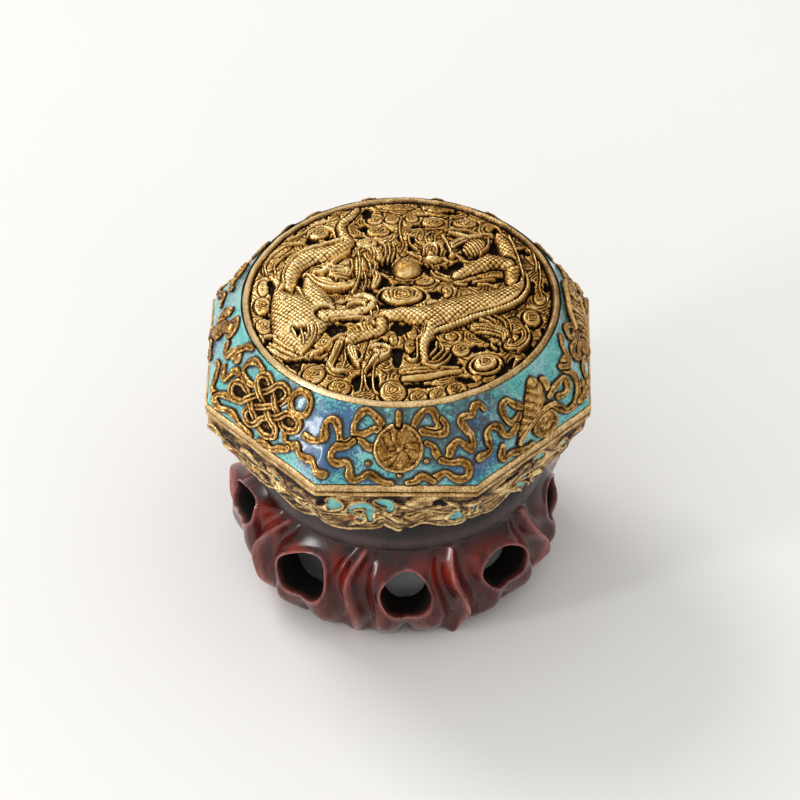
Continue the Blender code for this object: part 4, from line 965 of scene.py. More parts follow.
def make_lid_core(gilt):
    def slope(share):
        def radius(azimuth):
            foot = octagon(azimuth, PANEL_APOTHEM)
            shift = RING_SHIFT * share * np.sin(azimuth)
            return foot + (RING_RADIUS - foot) * share + shift - 0.35
        return radius, RIM_TOP - 0.1 + SLOPE_HEIGHT * share, 0.2

    def ring_loop(step, height, level):
        def radius(azimuth):
            return RING_RADIUS + step + RING_SHIFT * np.sin(azimuth)

        # Painted light: brighter on the ring's lit left side, darker on the far side
        def gilt_and_painted_light(azimuth):
            return level * (0.78 + 0.22 * np.cos(azimuth - RING_PAINTED_LIGHT_AZIMUTH))
        return radius, waver(height, 0.04), gilt_and_painted_light

    loops = [
        (INNERMOST, LID_CEILING, 0.3), (26.3, LID_CEILING, 0.3), (26.8, LID_CEILING - 0.25, 0.3),
        eight_sided(LID_INNER_APOTHEM, 47.35, 0.3),
        eight_sided(LID_INNER_APOTHEM, LID_BOTTOM + 0.1, 0.4),
        eight_sided(LID_INNER_APOTHEM + 0.15, LID_BOTTOM, 0.4),
        eight_sided(RIM_APOTHEM - 0.3, LID_BOTTOM, 0.4),
        eight_sided(RIM_APOTHEM - 0.08, LID_BOTTOM + 0.12, 0.55, 0.02),
        eight_sided(RIM_APOTHEM, LID_BOTTOM + 0.4, 0.75, 0.02),
        eight_sided(RIM_APOTHEM, RIM_TOP - 0.45, 0.8, 0.02),
        eight_sided(RIM_APOTHEM - 0.12, waver(RIM_TOP - 0.12), 0.9, 0.03),
        eight_sided(RIM_APOTHEM - 0.35, waver(RIM_TOP), 0.7, 0.03),
        eight_sided(PANEL_APOTHEM + 0.05, RIM_TOP + 0.02, 0.25),
        *[slope(share) for share in (0.02, 0.3, 0.6, 0.9)], *[ring_loop(*step) for step in RING_STEPS],
        (20, 58.3, 0.0),
    ]
    add_turned("lid_core", loops, gilt, "lid")


def body_outline(azimuth, down):
    """Outside of the carved wall of the box. down is 0 under the lip and 1 at the ruffled edge."""
    top = octagon(azimuth, WALL_APOTHEM)
    bottom = octagon(azimuth, SKIRT_RADIUS, 0.55)
    lean = 1.5 * np.sqrt(down) * (1 + np.sin(azimuth)) / 2
    tier = 0.75 * np.abs(np.sin(TURN * down))
    return top + (bottom - top) * (0.55 * down + 0.45 * down**2) + tier - lean


# Lobes of the lower edge: place along the wall, width and rise
SKIRT_LOBES = [
    (-8.5, 3.4, -0.75), (0.3, 0.9, -0.7), (19, 2.2, -0.7), (28, 1.8, -0.6), (-20, 2, -0.7),
    (-2.5, 0.9, 1.1), (5.2, 2.2, 1.1), (13, 1.1, 1), (-15, 1.2, 0.9), (-25.5, 1.4, 0.9), (24, 1.1, 0.8),
]


def skirt_edge(azimuth):
    """Height of the ruffled lower edge: its lobes as seen in front, and plain waves behind."""
    along = (azimuth * BAND_RADIUS + BAND_LENGTH / 2) % BAND_LENGTH - BAND_LENGTH / 2
    waves = np.sin(11 * azimuth + 0.6) + 0.6 * np.sin(17 * azimuth + 2.0) + 0.5 * np.sin(5 * azimuth)
    edge = 0.5 * waves * smooth_step((np.abs(along) - 32) / 8)
    for middle, width, rise in SKIRT_LOBES:
        edge = edge + rise * hump(along, middle, width)
    return SKIRT_HEIGHT + edge


def wall_height(azimuth, down):
    return LIP_BOTTOM + (skirt_edge(azimuth) - LIP_BOTTOM) * down


# Enamel left in hollows of the wall, as strokes of x along the wall from the front, y down it and half width
WALL_POOLS = [
    [(-10.2, 1.5, 0.7), (-9.8, 3, 0.8), (-10.4, 4.2, 0.4)],
    [(-7.5, 4.5, 0.5), (-6.6, 3.4, 0.8), (-5.2, 3, 0.7), (-4.4, 4.4, 0.8), (-4.4, 6, 0.7),
     (-4.7, 8.2, 0.6), (-4.6, 10, 0.3)],
    [(-8, 5.6, 0.5), (-6.9, 6.8, 0.6), (-6.5, 7.4, 0.4)], [(-6.5, 9, 0.5), (-6.2, 9.3, 0.4)],
    [(-3, 1.9, 0.3), (-1.6, 2.4, 0.9), (-0.9, 3.6, 0.8), (-1.1, 5, 0.5), (-1.2, 6.6, 0.25)],
    [(10.3, 5.5, 0.35), (10.5, 7.6, 0.5), (10.2, 9.6, 0.9)],
    [(12.2, 3, 0.4), (12.9, 5.6, 0.45), (13, 8.8, 0.4)], [(20, 8, 0.4), (23, 8.5, 0.55), (26, 8.4, 0.45)],
    [(26.4, 1.8, 0.8), (27.6, 2.4, 0.8)], [(-30, 8.4, 0.5), (-29.4, 8.9, 0.5)],
    [(-23.3, 8.6, 0.5), (-22.6, 9, 0.5)], [(-15.2, 9.2, 0.5), (-14.7, 9.7, 0.4)],
    [(-20.8, 3.8, 0.7), (-20, 4.2, 0.6)], [(32.5, 3, 0.6), (34.4, 5.4, 0.75), (36, 8, 0.5)],
    [(28, 10, 0.5), (30.6, 12.6, 0.7), (33, 15, 0.5)], [(24, 10, 0.5), (26, 12, 0.65), (28, 14, 0.5)],
    [(-36.6, 3.2, 0.7), (-35.4, 4, 0.8)], [(-44.6, 7.6, 0.7), (-43.4, 8.4, 0.7)],
    *[[(52 + 12 * k, 3.4 + 5 * (k % 2), 0.8), (53.4 + 12 * k, 4.4 + 5 * (k % 2), 0.7)] for k in range(9)],
]
# Dark hollows of the wall: x, y, half width, half depth and, where it isn't 0, turn
WALL_HOLLOWS = [
    (-33, 5.2, 1.4, 2.2), (-24, 4.2, 1, 1.7), (-11.6, 2.5, 0.8, 1), (7, 2.8, 1.2, 1), (19, 2.7, 2.8, 0.7),
    (16, 8.5, 1.8, 0.5), (-18, 11, 1.2, 0.6, 0.4), (4, 11.5, 1.4, 0.5, -0.3), (22, 11.6, 1.2, 0.5, 0.3),
    *[(46 + 11 * k, 6 + 5 * (k % 2), 1.5, 0.7, 0.3 - 0.6 * (k % 2)) for k in range(10)],
]
# Coral red left in three hollows
WALL_CORAL = [(-7.4, 8.9), (-34.5, 9.2), (-39, 13.5)]
CORAL_SIZE = 0.8
BLOTCH_SEED = 11
WALL_SCROLLS = 28
# A scroll and a leaf of the wall: x, y, how much y follows the lift, half width and rise
SCROLL = [
    (-3.4, 5.6, 1, 0.4, 0.45), (-1.6, 4.0, 1, 0.8, 0.6), (0.6, 2.4, 0.4, 1.0, 0.68), (2.2, 3.2, 1, 0.7, 0.62),
    (1.9, 4.7, 1, 0.5, 0.55), (0.7, 4.6, 1, 0.4, 0.5),
]
LEAF = [
    (-2.6, 12.6, 0, 0.4, 0.4), (-1.2, 10.4, 0, 0.9, 0.7), (0.8, 8.8, 0.5, 0.9, 0.75), (2.6, 8.6, 0, 0.4, 0.5),
]
POOL_LEVEL = 0.28  # of the enamel left in the wall's hollows


def carve_wall():
    """Two ruffled tiers of scrolls and leaves. y runs down the wall from under its lip."""
    wall = Relief(0.0, BAND_LENGTH, 0.0, WALL_SLOPE, BAND_LENGTH / WALL_COLUMNS, wrap=True)
    x, y = wall.x, wall.y
    ground = 0.12 + 0.1 * np.sin(1.9 * y + 0.8 * np.sin(0.75 * x)) * np.sin(1.25 * x + 0.9 * y)
    ruffle = 0.5 + 0.5 * np.sin(0.94 * x + 1.6 * np.sin(0.31 * x) + 0.5 * y)
    wall.height = 0.25 + ground + 0.28 * ruffle * hump(y, 10.6, 2.2) + 0.2 * (1 - ruffle) * hump(y, 4.2, 1.8)
    for k in range(WALL_SCROLLS):
        middle = BAND_LENGTH * k / WALL_SCROLLS + 1.1 * math.sin(2.4 * k)
        lean = 1.0 if k % 2 else -1.0
        lift = 0.7 * math.sin(1.7 * k)
        for form, moat in ((SCROLL, 0.3), (LEAF, 0.25)):
            points = [(middle + dx * lean, dy + follow * lift, half, rise)
                      for dx, dy, follow, half, rise in form]
            wall.stroke(points, shape=leafy, moat=moat, reach=0.8, kept=0.5)
        wall.disc(middle + 3.4 * lean, 11.2 + 0.5 * lift, 1.1, 0.9, spiral, 0.6, moat=0.4)
    for hollow in WALL_HOLLOWS:
        wall.pit(*hollow, depth=-0.2)
    for low, rise in ((7.1, 0.75), (14.2, 0.85)):
        line = [(t, low + 0.5 * math.sin(11 * t / BAND_RADIUS + low) + 0.3 * math.sin(0.9 * t))
                for t in np.arange(0, BAND_LENGTH + 1.6, 1.6)]
        wall.stroke(line, 0.5, rise, cord, moat=0.6, reach=0.8)
    return wall


def make_wall(gilt, enamel):
    wall = carve_wall()
    sketch = Relief(0.0, BAND_LENGTH, 0.0, WALL_SLOPE, BAND_LENGTH / WALL_COLUMNS, wrap=True)
    for points in WALL_POOLS:
        sketch.stroke([(*p, 0.5) for p in points], shape=cord, reach=1.2, swell=0.3)
    pools = sketch.edge
    half = BAND_LENGTH / 2
    coral = sum(hump(np.hypot((wall.x - x + half) % BAND_LENGTH - half, wall.y - y), 0, CORAL_SIZE)
                for x, y in WALL_CORAL)
    wall.roughen(0.03, seed=7)
    height = soften(wall.height, 0.9, True)
    blotches = soften(np.random.default_rng(BLOTCH_SEED).normal(size=height.shape), 7.0, True)
    height = height * smooth_step((pools + 0.05) / 0.3) + 0.35 * hump(pools, 0.3, 0.25)
    # Darker in the hollows, partly patina and partly painted shade, with random blotches; bright on peaks as
    # a painted highlight
    level = np.clip(0.05 + height / 1.05 - 0.25 * blotches / blotches.std(), 0, 1)
    patina_shade_and_sheen = patina_shade_and_sheen_of(height, True, fine=0.36, broad=0.7, cells=3.5)
    azimuth, down = wall.x / BAND_RADIUS, wall.y / WALL_SLOPE
    base = at(azimuth, body_outline(azimuth, down) - 0.15, wall_height(azimuth, down))[::-1]
    outward = normals(base, True)
    height, patina_shade_and_sheen, level, coral, pools = (field[::-1] for field in (height, patina_shade_and_sheen, level, coral, pools))
    add_sheet("box_wall", base + outward * height[..., None], gilt, "box_body", True, None,
              {"patina_shade_and_sheen": patina_shade_and_sheen, "level": level, "coral": coral})
    inside = pools < 0.25
    keep = inside[:-1] & inside[1:]
    rippled = (POOL_LEVEL + 0.05 * np.sin(2 * wall.x) * np.sin(2.2 * wall.y))[::-1]
    zero = np.zeros(pools.shape)
    add_sheet("box_enamel", base + outward * rippled[..., None], enamel, "box_body", True,
              keep & np.roll(keep, -1, axis=1),
              {"gap": np.clip(0.35 - pools, 0, 2), "cobalt": zero, "mauve": zero, "murk": zero})


def make_box_core(gilt):
    def wall_loop(down, inset, lift, level):
        return (lambda a: body_outline(a, down) - inset), (lambda a: wall_height(a, down) + lift), level

    loops = [
        (INNERMOST, BODY_BOTTOM, 0.3), (22.3, BODY_BOTTOM, 0.3), (22.4, BODY_BOTTOM - 0.1, 0.3),
        (22.5, FOOT_BOTTOM + 0.1, 0.4), (22.7, FOOT_BOTTOM, 0.4), (24.4, FOOT_BOTTOM, 0.4),
        (24.6, FOOT_BOTTOM + 0.15, 0.4), (24.6, BODY_BOTTOM, 0.3), (26.6, BODY_BOTTOM, 0.2),
        wall_loop(1.0, 1.6, 0.1, 0.1), wall_loop(1.0, 0.9, -0.1, 0.3), wall_loop(1.0, 0.25, -0.05, 0.5),
        *[wall_loop(down, 0.5, 0.0, 0.1) for down in (1.0, 0.8, 0.6, 0.4, 0.2, 0.02)],
        eight_sided(WALL_APOTHEM, LIP_BOTTOM, 0.2), eight_sided(BODY_APOTHEM - 0.25, LIP_BOTTOM, 0.4),
        eight_sided(BODY_APOTHEM - 0.05, waver(LIP_BOTTOM + 0.15), 0.6, 0.03),
        eight_sided(BODY_APOTHEM, LIP_BOTTOM + 0.4, 0.8, 0.03),
        eight_sided(BODY_APOTHEM - 0.05, BODY_TOP - 0.15, 0.7, 0.02),
        eight_sided(BODY_APOTHEM - 0.2, BODY_TOP, 0.5), eight_sided(FLANGE_APOTHEM, BODY_TOP, 0.4),
        eight_sided(FLANGE_APOTHEM, FLANGE_TOP - 0.15, 0.5),
        eight_sided(FLANGE_APOTHEM - 0.15, FLANGE_TOP, 0.6),
        eight_sided(FLANGE_INNER + 0.15, FLANGE_TOP, 0.6), eight_sided(FLANGE_INNER, FLANGE_TOP - 0.15, 0.5),
        eight_sided(FLANGE_INNER, LIP_BOTTOM, 0.4), eight_sided(27.8, 32.6, 0.4, roundness=0.55),
        (24.6, BODY_FLOOR + 0.2, 0.4), (24, BODY_FLOOR, 0.4), (INNERMOST, BODY_FLOOR, 0.4),
    ]
    add_turned("box_core", loops, gilt, "box_body")


# The stand
HOLE_COUNT = 9
SECTOR = 360.0 / HOLE_COUNT
FIRST_HOLE = 5.0
HOLE_MIDDLE = 0.60  # as a share of the shell's height
HOLE_HALF_DEGREES = 10.2
HOLE_HALF_SHARE = 0.25
BELLY_SHARE = 0.6
BELLY_RADIUS = 29.8
TOE_AZIMUTH = 23.5  # the crest whose foot runs out to a point
TOE_REACH = 1.8
SHELL_SHIFT = -1.1
SHELL_WALL = 5.0
HIGH_HOLE = 7  # the far left hole is cut higher than the rest
HIGH_HOLE_RISE = 4.5
HIGH_HOLE_TURN = math.radians(1)
HIGH_HOLE_SPREAD = 0.4
CREST_FLARE = math.radians(10)  # how much nearer the front the crests start at the collar
FOOT_FLARE = math.radians(2.5)
HOLE_SIZES = {0: (0.86, 1.0), 1: (1.0, 0.88)}  # width and height of holes that aren't like the rest
TWIST = math.radians(2.2)  # how much the crests sway on their way up
TOE_WIDTH = 3.2


def shell_profile(share):
    """Radius of the plain shell, which swells at the holes and curls in at the ground."""
    over = np.clip((share - BELLY_SHARE) / (1 - BELLY_SHARE), 0, 1)
    under = np.clip(1 - share / BELLY_SHARE, 0, 1)
    return BELLY_RADIUS - 3.7 * over**2.2 - 3.7 * under**2.3


def hole_distance(degrees, share, hole):
    """Distance from the hole's middle, 1 at its edge."""
    wide, high = HOLE_SIZES.get(hole, (1.0, 1.0))
    return np.hypot(degrees / (HOLE_HALF_DEGREES * wide), (share - HOLE_MIDDLE) / (HOLE_HALF_SHARE * high))


def shell_outside(degrees, share, hole):
    """Radius of the carved shell at degrees from the nearest hole's middle."""
    middle = np.abs(degrees)
    to_crest = SECTOR / 2 - middle
    crest = 2.2 * np.exp(-to_crest / 1.7) * (0.15 + 0.85 * smooth_step(share / 0.35)) * (1 - 0.25 * share**3)
    valley = 1.5 * hump(to_crest, 5.0, 3.2) * smooth_step((1.05 - share) / 0.25) * smooth_step(share / 0.2)
    rim = 0.45 * hump(hole_distance(degrees, share, hole), 1.07, 0.1)
    lobe = 1.9 * hump(middle, 8.6, 5.4) * hump(share, 0.25, 0.2)
    groove = 0.8 * hump(middle, 0.0, 2.2) * smooth_step((0.24 - share) / 0.14)
    return shell_profile(share) + crest - valley + rim + lobe - groove


def foot_line(degrees):
    """Height of the shell's lower edge: flat feet under the crests, a cleft under each hole."""
    middle = np.abs(degrees)
    to_crest = SECTOR / 2 - middle
    cleft = 1.7 * np.clip(1 - middle / 4.0, 0, 1) ** 1.4
    notch = 0.6 * hump(to_crest, 6.0, 2.6)
    return np.where(to_crest <= 2.51, 0.0, 0.25 * smooth_step((to_crest - 2.5) / 1.5) + cleft + notch)


def shell_place(degrees, share, radius, hole):
    lift = (1 - share) ** 5
    azimuth = np.radians(FIRST_HOLE + SECTOR * hole + degrees)
    azimuth = azimuth + FOOT_FLARE * (1 - share) * np.sin(azimuth) * np.minimum(share * 4, 1)
    azimuth = azimuth - CREST_FLARE * smooth_step((share - 0.5) / 0.6) * np.sin(azimuth)
    azimuth = azimuth + TWIST * np.sin(TURN * share) * smooth_step(np.abs(degrees) / (SECTOR / 2))
    height = COLLAR_BOTTOM * share + lift * foot_line(degrees)
    if hole == HIGH_HOLE:
        near = np.sin(math.pi * np.clip(share, 0, 1)) * smooth_step((SECTOR / 2 - np.abs(degrees)) / 14)
        height = height + HIGH_HOLE_RISE * near * (1 + degrees / 16)
        azimuth = azimuth + (HIGH_HOLE_TURN + HIGH_HOLE_SPREAD * np.radians(degrees)) * near
    toe = TOE_REACH * hump(np.degrees(azimuth), TOE_AZIMUTH, TOE_WIDTH) * smooth_step(1 - share / 0.22)
    return at(azimuth, radius + toe, height, SHELL_SHIFT * (1 - share**4))


SIDE_CELLS, SPAN_CELLS = 44, 60  # of each sector of the shell
INNER_LOOPS, OUTER_LOOPS = 8, 27
# Steps through the thickness of the shell at a hole: share of the wall and how far out from the hole
HOLE_STEPS = ((1.0, 0.02), (0.6, 0.0), (0.25, 0.0), (0.08, 0.01), (0.02, 0.03))


def make_shell(wood):
    """The pierced shell. Each sector is a net from the rim of its hole out to its four borders."""
    side = np.linspace(0, 1, SIDE_CELLS + 1)
    span = np.linspace(-1, 1, SPAN_CELLS + 1) * SECTOR / 2
    edge = np.full(SIDE_CELLS, SECTOR / 2)
    border_degrees = np.concatenate([edge, span[:0:-1], -edge, span[:-1]])
    border_share = np.concatenate([side[:-1], np.ones(SPAN_CELLS), side[:0:-1], np.zeros(SPAN_CELLS)])
    count = len(border_degrees)
    closing = [k for k in range(count) if border_share[k] == border_share[(k + 1) % count]]
    vertices, faces, start = [], [], 0
    fields = {"hollow": [], "ridge_highlight": [], "share": []}
    for hole in range(HOLE_COUNT):
        scale = 1 / hole_distance(border_degrees, border_share, hole)
        rim_degrees, rim_share = border_degrees * scale, HOLE_MIDDLE + (border_share - HOLE_MIDDLE) * scale

        def between(step):
            """From the rim of the hole, at 0, to the borders of the sector, at 1."""
            return (rim_degrees + (border_degrees - rim_degrees) * step,
                    rim_share + (border_share - rim_share) * step)

        loops = []  # each of degrees, share of the height, radius, darkness and painted ridge highlight
        for step in np.linspace(1, 0, INNER_LOOPS)[:-1]:
            d, s = between(step)
            loops.append((d, s, shell_profile(s) - SHELL_WALL, 1, 0))
        for depth, spread in HOLE_STEPS:
            d, s = rim_degrees * (1 + spread), HOLE_MIDDLE + (rim_share - HOLE_MIDDLE) * (1 + spread)
            outside = shell_outside(d, s, hole)
            radius = outside + (shell_profile(s) - SHELL_WALL - outside) * depth
            ridge_highlight = 0.8 * (1 - smooth_step(depth / 0.1))
            loops.append((d, s, radius, smooth_step((depth - 0.02) / 0.2), ridge_highlight))
        for step in np.linspace(0, 1, OUTER_LOOPS)[1:] ** 1.15:
            d, s = between(0.08 + 0.92 * step)
            near_rim = 0.8 * hump(hole_distance(d, s, hole), 1.05, 0.06)
            ridge_highlight = np.maximum(near_rim, hump(SECTOR / 2 - np.abs(d), 0, 1.0))
            loops.append((d, s, shell_outside(d, s, hole), 0, ridge_highlight))
        for d, s, radius, dark, ridge_highlight in loops:
            vertices.append(shell_place(d, s, radius, hole))
            for key, value in (("hollow", dark), ("ridge_highlight", ridge_highlight), ("share", s)):
                fields[key].append(np.full(count, value, float))
        last = start + (len(loops) - 1) * count
        faces.append(grid_faces(len(loops), count, True)[:, ::-1] + start)
        faces.append([(start + k, start + (k + 1) % count, last + (k + 1) % count, last + k)
                      for k in closing])
        start = last + count
    vertices = np.concatenate(vertices)
    _, first, number = np.unique(np.round(vertices, 4), axis=0, return_index=True, return_inverse=True)
    faces = number.reshape(-1)[np.concatenate(faces)]
    shell = add_piece("stand_shell", vertices[first], faces, wood, "stand",
                      {key: np.concatenate(values)[first] for key, values in fields.items()})
    shell.data.set_sharp_from_angle(angle=SHARP_CARVED)


def make_collar(wood):
    # The levels paint highlights: a lighter band round the middle of the collar and a pink line along its
    # lower edge
    loops = [
        (INNERMOST, CAVITY_TOP, 0.0), (22.6, CAVITY_TOP, 0.0), (22.9, 21.3, 0.0), (25.6, 21.3, 0.2),
        (26.5, 21.45, 0.5), (26.9, 21.7, 1.0), (27.05, 22.1, 0.1), (27.3, 23.2, 0.3), (27.4, 24.3, 0.5),
        (27.35, 25.4, 0.35), (27.15, 26.4, 0.1), (26.8, 27.2, 0.0), (26.4, STAND_TOP, 0.0),
        (25.15, STAND_TOP, 0.0),
        (SEAT_RADIUS, STAND_TOP - 0.15, 0.1), (SEAT_RADIUS, SEAT_FLOOR, 0.0), (20, SEAT_FLOOR, 0.0),
    ]
    add_turned("stand_collar", loops, wood, "stand", columns=384)


# Materials
class Graph:
    """A short way to write the nodes of a material or of the world."""

    def __init__(self, owner, shader="Principled BSDF"):
        owner.use_nodes = True
        self.owner, self.tree = owner, owner.node_tree
        self.shader = self.tree.nodes[shader]
        self.coordinates = self.node("TexCoord").outputs
        self.base = None

    def node(self, kind, inputs=None, **settings):
        made = self.tree.nodes.new("ShaderNode" + kind)
        for key, value in settings.items():
            setattr(made, key, value)
        for key, value in (inputs or {}).items():
            self.put(made.inputs[key], value)
        return made

    def put(self, socket, value):
        if isinstance(value, bpy.types.NodeSocket):
            self.tree.links.new(value, socket)
        else:
            socket.default_value = value

    def set(self, name, value):
        self.put(self.shader.inputs[name], value)

    def field(self, name):
        return self.node("Attribute", attribute_name=name).outputs["Fac"]

    def math(self, operation, a, b, clamp=False):
        return self.node("Math", {0: a, 1: b}, operation=operation, use_clamp=clamp).outputs[0]

    def times(self, a, b, clamp=False):
        return self.math("MULTIPLY", a, b, clamp)

    def plus(self, a, b):
        return self.math("ADD", a, b)

    def less(self, a, b, clamp=False):
        return self.math("SUBTRACT", a, b, clamp)

    def ramp(self, value, low, high, to_low=0.0, to_high=1.0, kind="SMOOTHSTEP"):
        made = self.node("MapRange", {"Value": value, "From Min": low, "From Max": high,
                                      "To Min": to_low, "To Max": to_high}, interpolation_type=kind)
        return made.outputs["Result"]

    def tint(self, factor, colour):
        """Lays a colour over the base colour so far."""
        made = self.node("Mix", {0: factor}, data_type="RGBA")
        for key, value in ((6, self.base), (7, colour)):
            self.put(made.inputs[key], value if isinstance(value, bpy.types.NodeSocket) else (*value, 1.0))
        self.base = made.outputs[2]

    def noise(self, size, detail=3.0, rough=0.6, flatten=1, bend=0.0):
        """Noise with features of about this size in millimetres, drawn out upwards by a flatten under 1."""
        spread = self.node("Mapping", {"Vector": self.coordinates["Object"],
                                       "Scale": (1 / MM, 1 / MM, flatten / MM)})
        made = self.node("TexNoise", {"Vector": spread.outputs[0], "Scale": 1 / size, "Detail": detail,
                                      "Roughness": rough, "Distortion": bend})
        return made.outputs["Fac"]

    def dent(self, *layers):
        """Bumps of height, distance in millimetres and strength, each laid over the last."""
        normal = {}
        for height, distance, strength in layers:
            inputs = {"Height": height, "Distance": distance * MM, "Strength": strength, **normal}
            normal = {"Normal": self.node("Bump", inputs).outputs["Normal"]}
        self.set("Normal", normal["Normal"])

    def finish(self, **values):
        """Sets what is named, with _ for a space, and the base colour, and gives the material back."""
        self.set("Base Color", self.base)
        for name, value in values.items():
            self.set(name.replace("_", " "), value)
        return self.owner


def new_look(name, base):
    g = Graph(bpy.data.materials.new(name))
    g.base = base
    return g


CORAL_RED = (0.45, 0.09, 0.05)


def gilt_look(name, deep, brown, ochre, bright, grain_size=0.22, grain_share=0.55):
    """Worn gilding over dark cast bronze: black in the hollows, partly dark patina and partly painted shade,
    and bright on what stands proud, partly a painted highlight.
    """
    g = new_look(name, deep)
    grain = g.noise(grain_size, 4.0, 0.7)
    worn = g.plus(g.ramp(grain, 0.3, 0.7, 0.275 - grain_share / 2, 0.275 + grain_share / 2),
                  g.ramp(g.noise(3.2), 0.3, 0.7, 0, 0.45))
    # Painted shade and highlight: the value is low in hollows and high on peaks and on what stands proud
    value = g.plus(g.plus(g.times(g.field("patina_shade_and_sheen"), 1.25), g.field("level")), g.less(worn, 1.05))
    for low, high, colour in ((0.12, 0.5, brown), (0.4, 0.95, ochre), (0.85, 1.55, bright)):
        g.tint(g.ramp(value, low, high), colour)
    amber = g.times(g.ramp(g.noise(6.0, 4.0, 0.65), 0.42, 0.6, 0, 0.5), g.ramp(value, 0.35, 0.9))
    g.tint(g.times(amber, g.ramp(value, 1.7, 1.0, 0.3, 1.0)), ochre)
    g.tint(g.times(g.field("coral"), g.ramp(grain, 0.35, 0.55), True), CORAL_RED)
    g.dent((g.noise(0.16, 3.0, 0.7), 0.05, 0.7), (g.noise(0.9), 0.14, 0.5))
    return g.finish(Metallic=1.0, Roughness=g.ramp(g.less(value, grain), 0.0, 1.0, 0.55, 0.23))


def enamel_look():
    """Turquoise enamel with speckles of cobalt, mauve clouds and dark lines beside the metal."""
    g = new_look("turquoise_enamel", (0.06, 0.42, 0.375))
    blotch = g.noise(2.2, 4.0, bend=0.4)
    fine = g.noise(0.35, 3.0, 0.7)
    g.tint(g.ramp(blotch, 0.35, 0.65), (0.19, 0.58, 0.49))
    g.tint(g.ramp(fine, 0.5, 0.75, 0, 0.5), (0.3, 0.6, 0.6))
    g.tint(g.ramp(g.noise(4.5, bend=0.5), 0.52, 0.68, 0, 0.5), (0.36, 0.55, 0.62))
    blue = g.ramp(g.plus(g.noise(0.5, 4.0, 0.75), g.times(g.field("cobalt"), 0.2)), 0.53, 0.63)
    g.tint(g.times(blue, 0.9), (0.008, 0.06, 0.22))
    wash = g.times(g.field("mauve"), g.ramp(blotch, 0.4, 0.6))
    g.tint(g.times(wash, 0.6), (0.26, 0.2, 0.36))
    murk = g.times(g.field("murk"), g.ramp(g.noise(1.2, 4.0, 0.7), 0.36, 0.56))
    g.tint(g.times(murk, 0.88, True), (0.03, 0.04, 0.055))
    ragged = g.times(g.noise(1.1), 0.66)
    line = g.ramp(g.less(g.field("gap"), ragged), -0.14, 0.14, 1, 0)
    g.tint(g.times(line, 0.92), (0.012, 0.02, 0.03))
    g.dent((g.noise(0.8), 0.16, 0.5), (g.noise(0.2, 2.0), 0.03, 0.5))
    return g.finish(Metallic=0.0, Roughness=g.ramp(fine, 0.3, 0.8, 0.22, 0.5),
                    Coat_Weight=0.5, Coat_Roughness=0.07)


def wood_look():
    """Dark red polished wood, redder near the collar, with painted shade just under it, a painted pink
    reflection of the floor mixed with dust low down, painted highlights on the ridges and rims, and black
    inside.
    """
    g = new_look("dark_red_wood", (0.02, 0.0014, 0.001))
    grain = g.noise(1.3, 5.0, 0.65, flatten=0.16, bend=0.6)
    pores = g.noise(0.3, 2.0, flatten=0.2)
    patches = g.noise(5.0, 2.0, 0.5, flatten=0.4)
    share, hollow = g.field("share"), g.field("hollow")
    g.tint(g.ramp(grain, 0.35, 0.7), (0.11, 0.007, 0.005))
    glow = g.times(g.ramp(share, 0.45, 0.85), g.ramp(patches, 0.45, 0.62))
    g.tint(g.times(glow, 0.7), (0.24, 0.016, 0.004))
    # Painted shade: the shell is darkened just under the collar
    g.tint(g.ramp(share, 0.8, 1.0, 0, 0.85), (0.01, 0.0015, 0.0015))
    # Painted reflection of the pale floor, pinkish and mixed with dust, on the lower part of the shell
    dust_and_floor_reflection = g.times(g.ramp(share, 0.62, 0.2, 0.0, 0.7), g.ramp(grain, 0.3, 0.65, 0.5, 1.0))
    g.tint(dust_and_floor_reflection, (0.13, 0.042, 0.036))
    # Painted highlight: pale pink along the crests and the hole rims
    g.tint(g.times(g.field("ridge_highlight"), g.ramp(grain, 0.3, 0.6, 0.3, 0.9)), (0.5, 0.17, 0.15))
    g.tint(g.ramp(pores, 0.62, 0.75, 0, 0.5), (0.012, 0.003, 0.003))
    g.tint(hollow, (0.006, 0.005, 0.004))
    g.dent((g.noise(0.5, flatten=0.3), 0.05, 0.4), (g.noise(3.0, 2.0, 0.5), 0.2, 0.4))
    return g.finish(Metallic=0.0, Roughness=g.plus(g.ramp(grain, 0.3, 0.8, 0.2, 0.36), g.times(hollow, 0.6)),
                    Coat_Weight=g.less(0.65, hollow, True), Coat_Roughness=0.19, Specular_IOR_Level=0.1)


def collar_look():
    """The collar's wood, stained nearly black, with a pitted polish, a painted highlight band round its
    middle and a painted pink highlight line along its lower edge.
    """
    g = new_look("dark_collar_wood", (0.006, 0.003, 0.004))
    patches = g.noise(4.0)
    pits = g.noise(0.7, 3.0, 0.7)
    level = g.field("level")
    g.tint(g.ramp(patches, 0.35, 0.65), (0.022, 0.01, 0.01))
    # Painted highlight: a lighter band round the middle of the collar
    g.tint(g.times(g.ramp(level, 0.2, 0.5), g.ramp(patches, 0.35, 0.6, 0.4, 1.0)), (0.05, 0.028, 0.026))
    # Painted highlight: a pink line along the lower edge of the collar
    g.tint(g.times(g.times(g.ramp(level, 0.6, 1.0), g.ramp(pits, 0.35, 0.6)), 0.7), (0.35, 0.12, 0.11))
    g.tint(g.ramp(pits, 0.55, 0.75, 0, 0.5), (0.01, 0.005, 0.006))
    g.dent((pits, 0.2, 0.7), (g.noise(1.6), 0.25, 0.6))
    return g.finish(Metallic=0.0, Roughness=g.ramp(pits, 0.3, 0.7, 0.22, 0.5), Specular_IOR_Level=0.4)


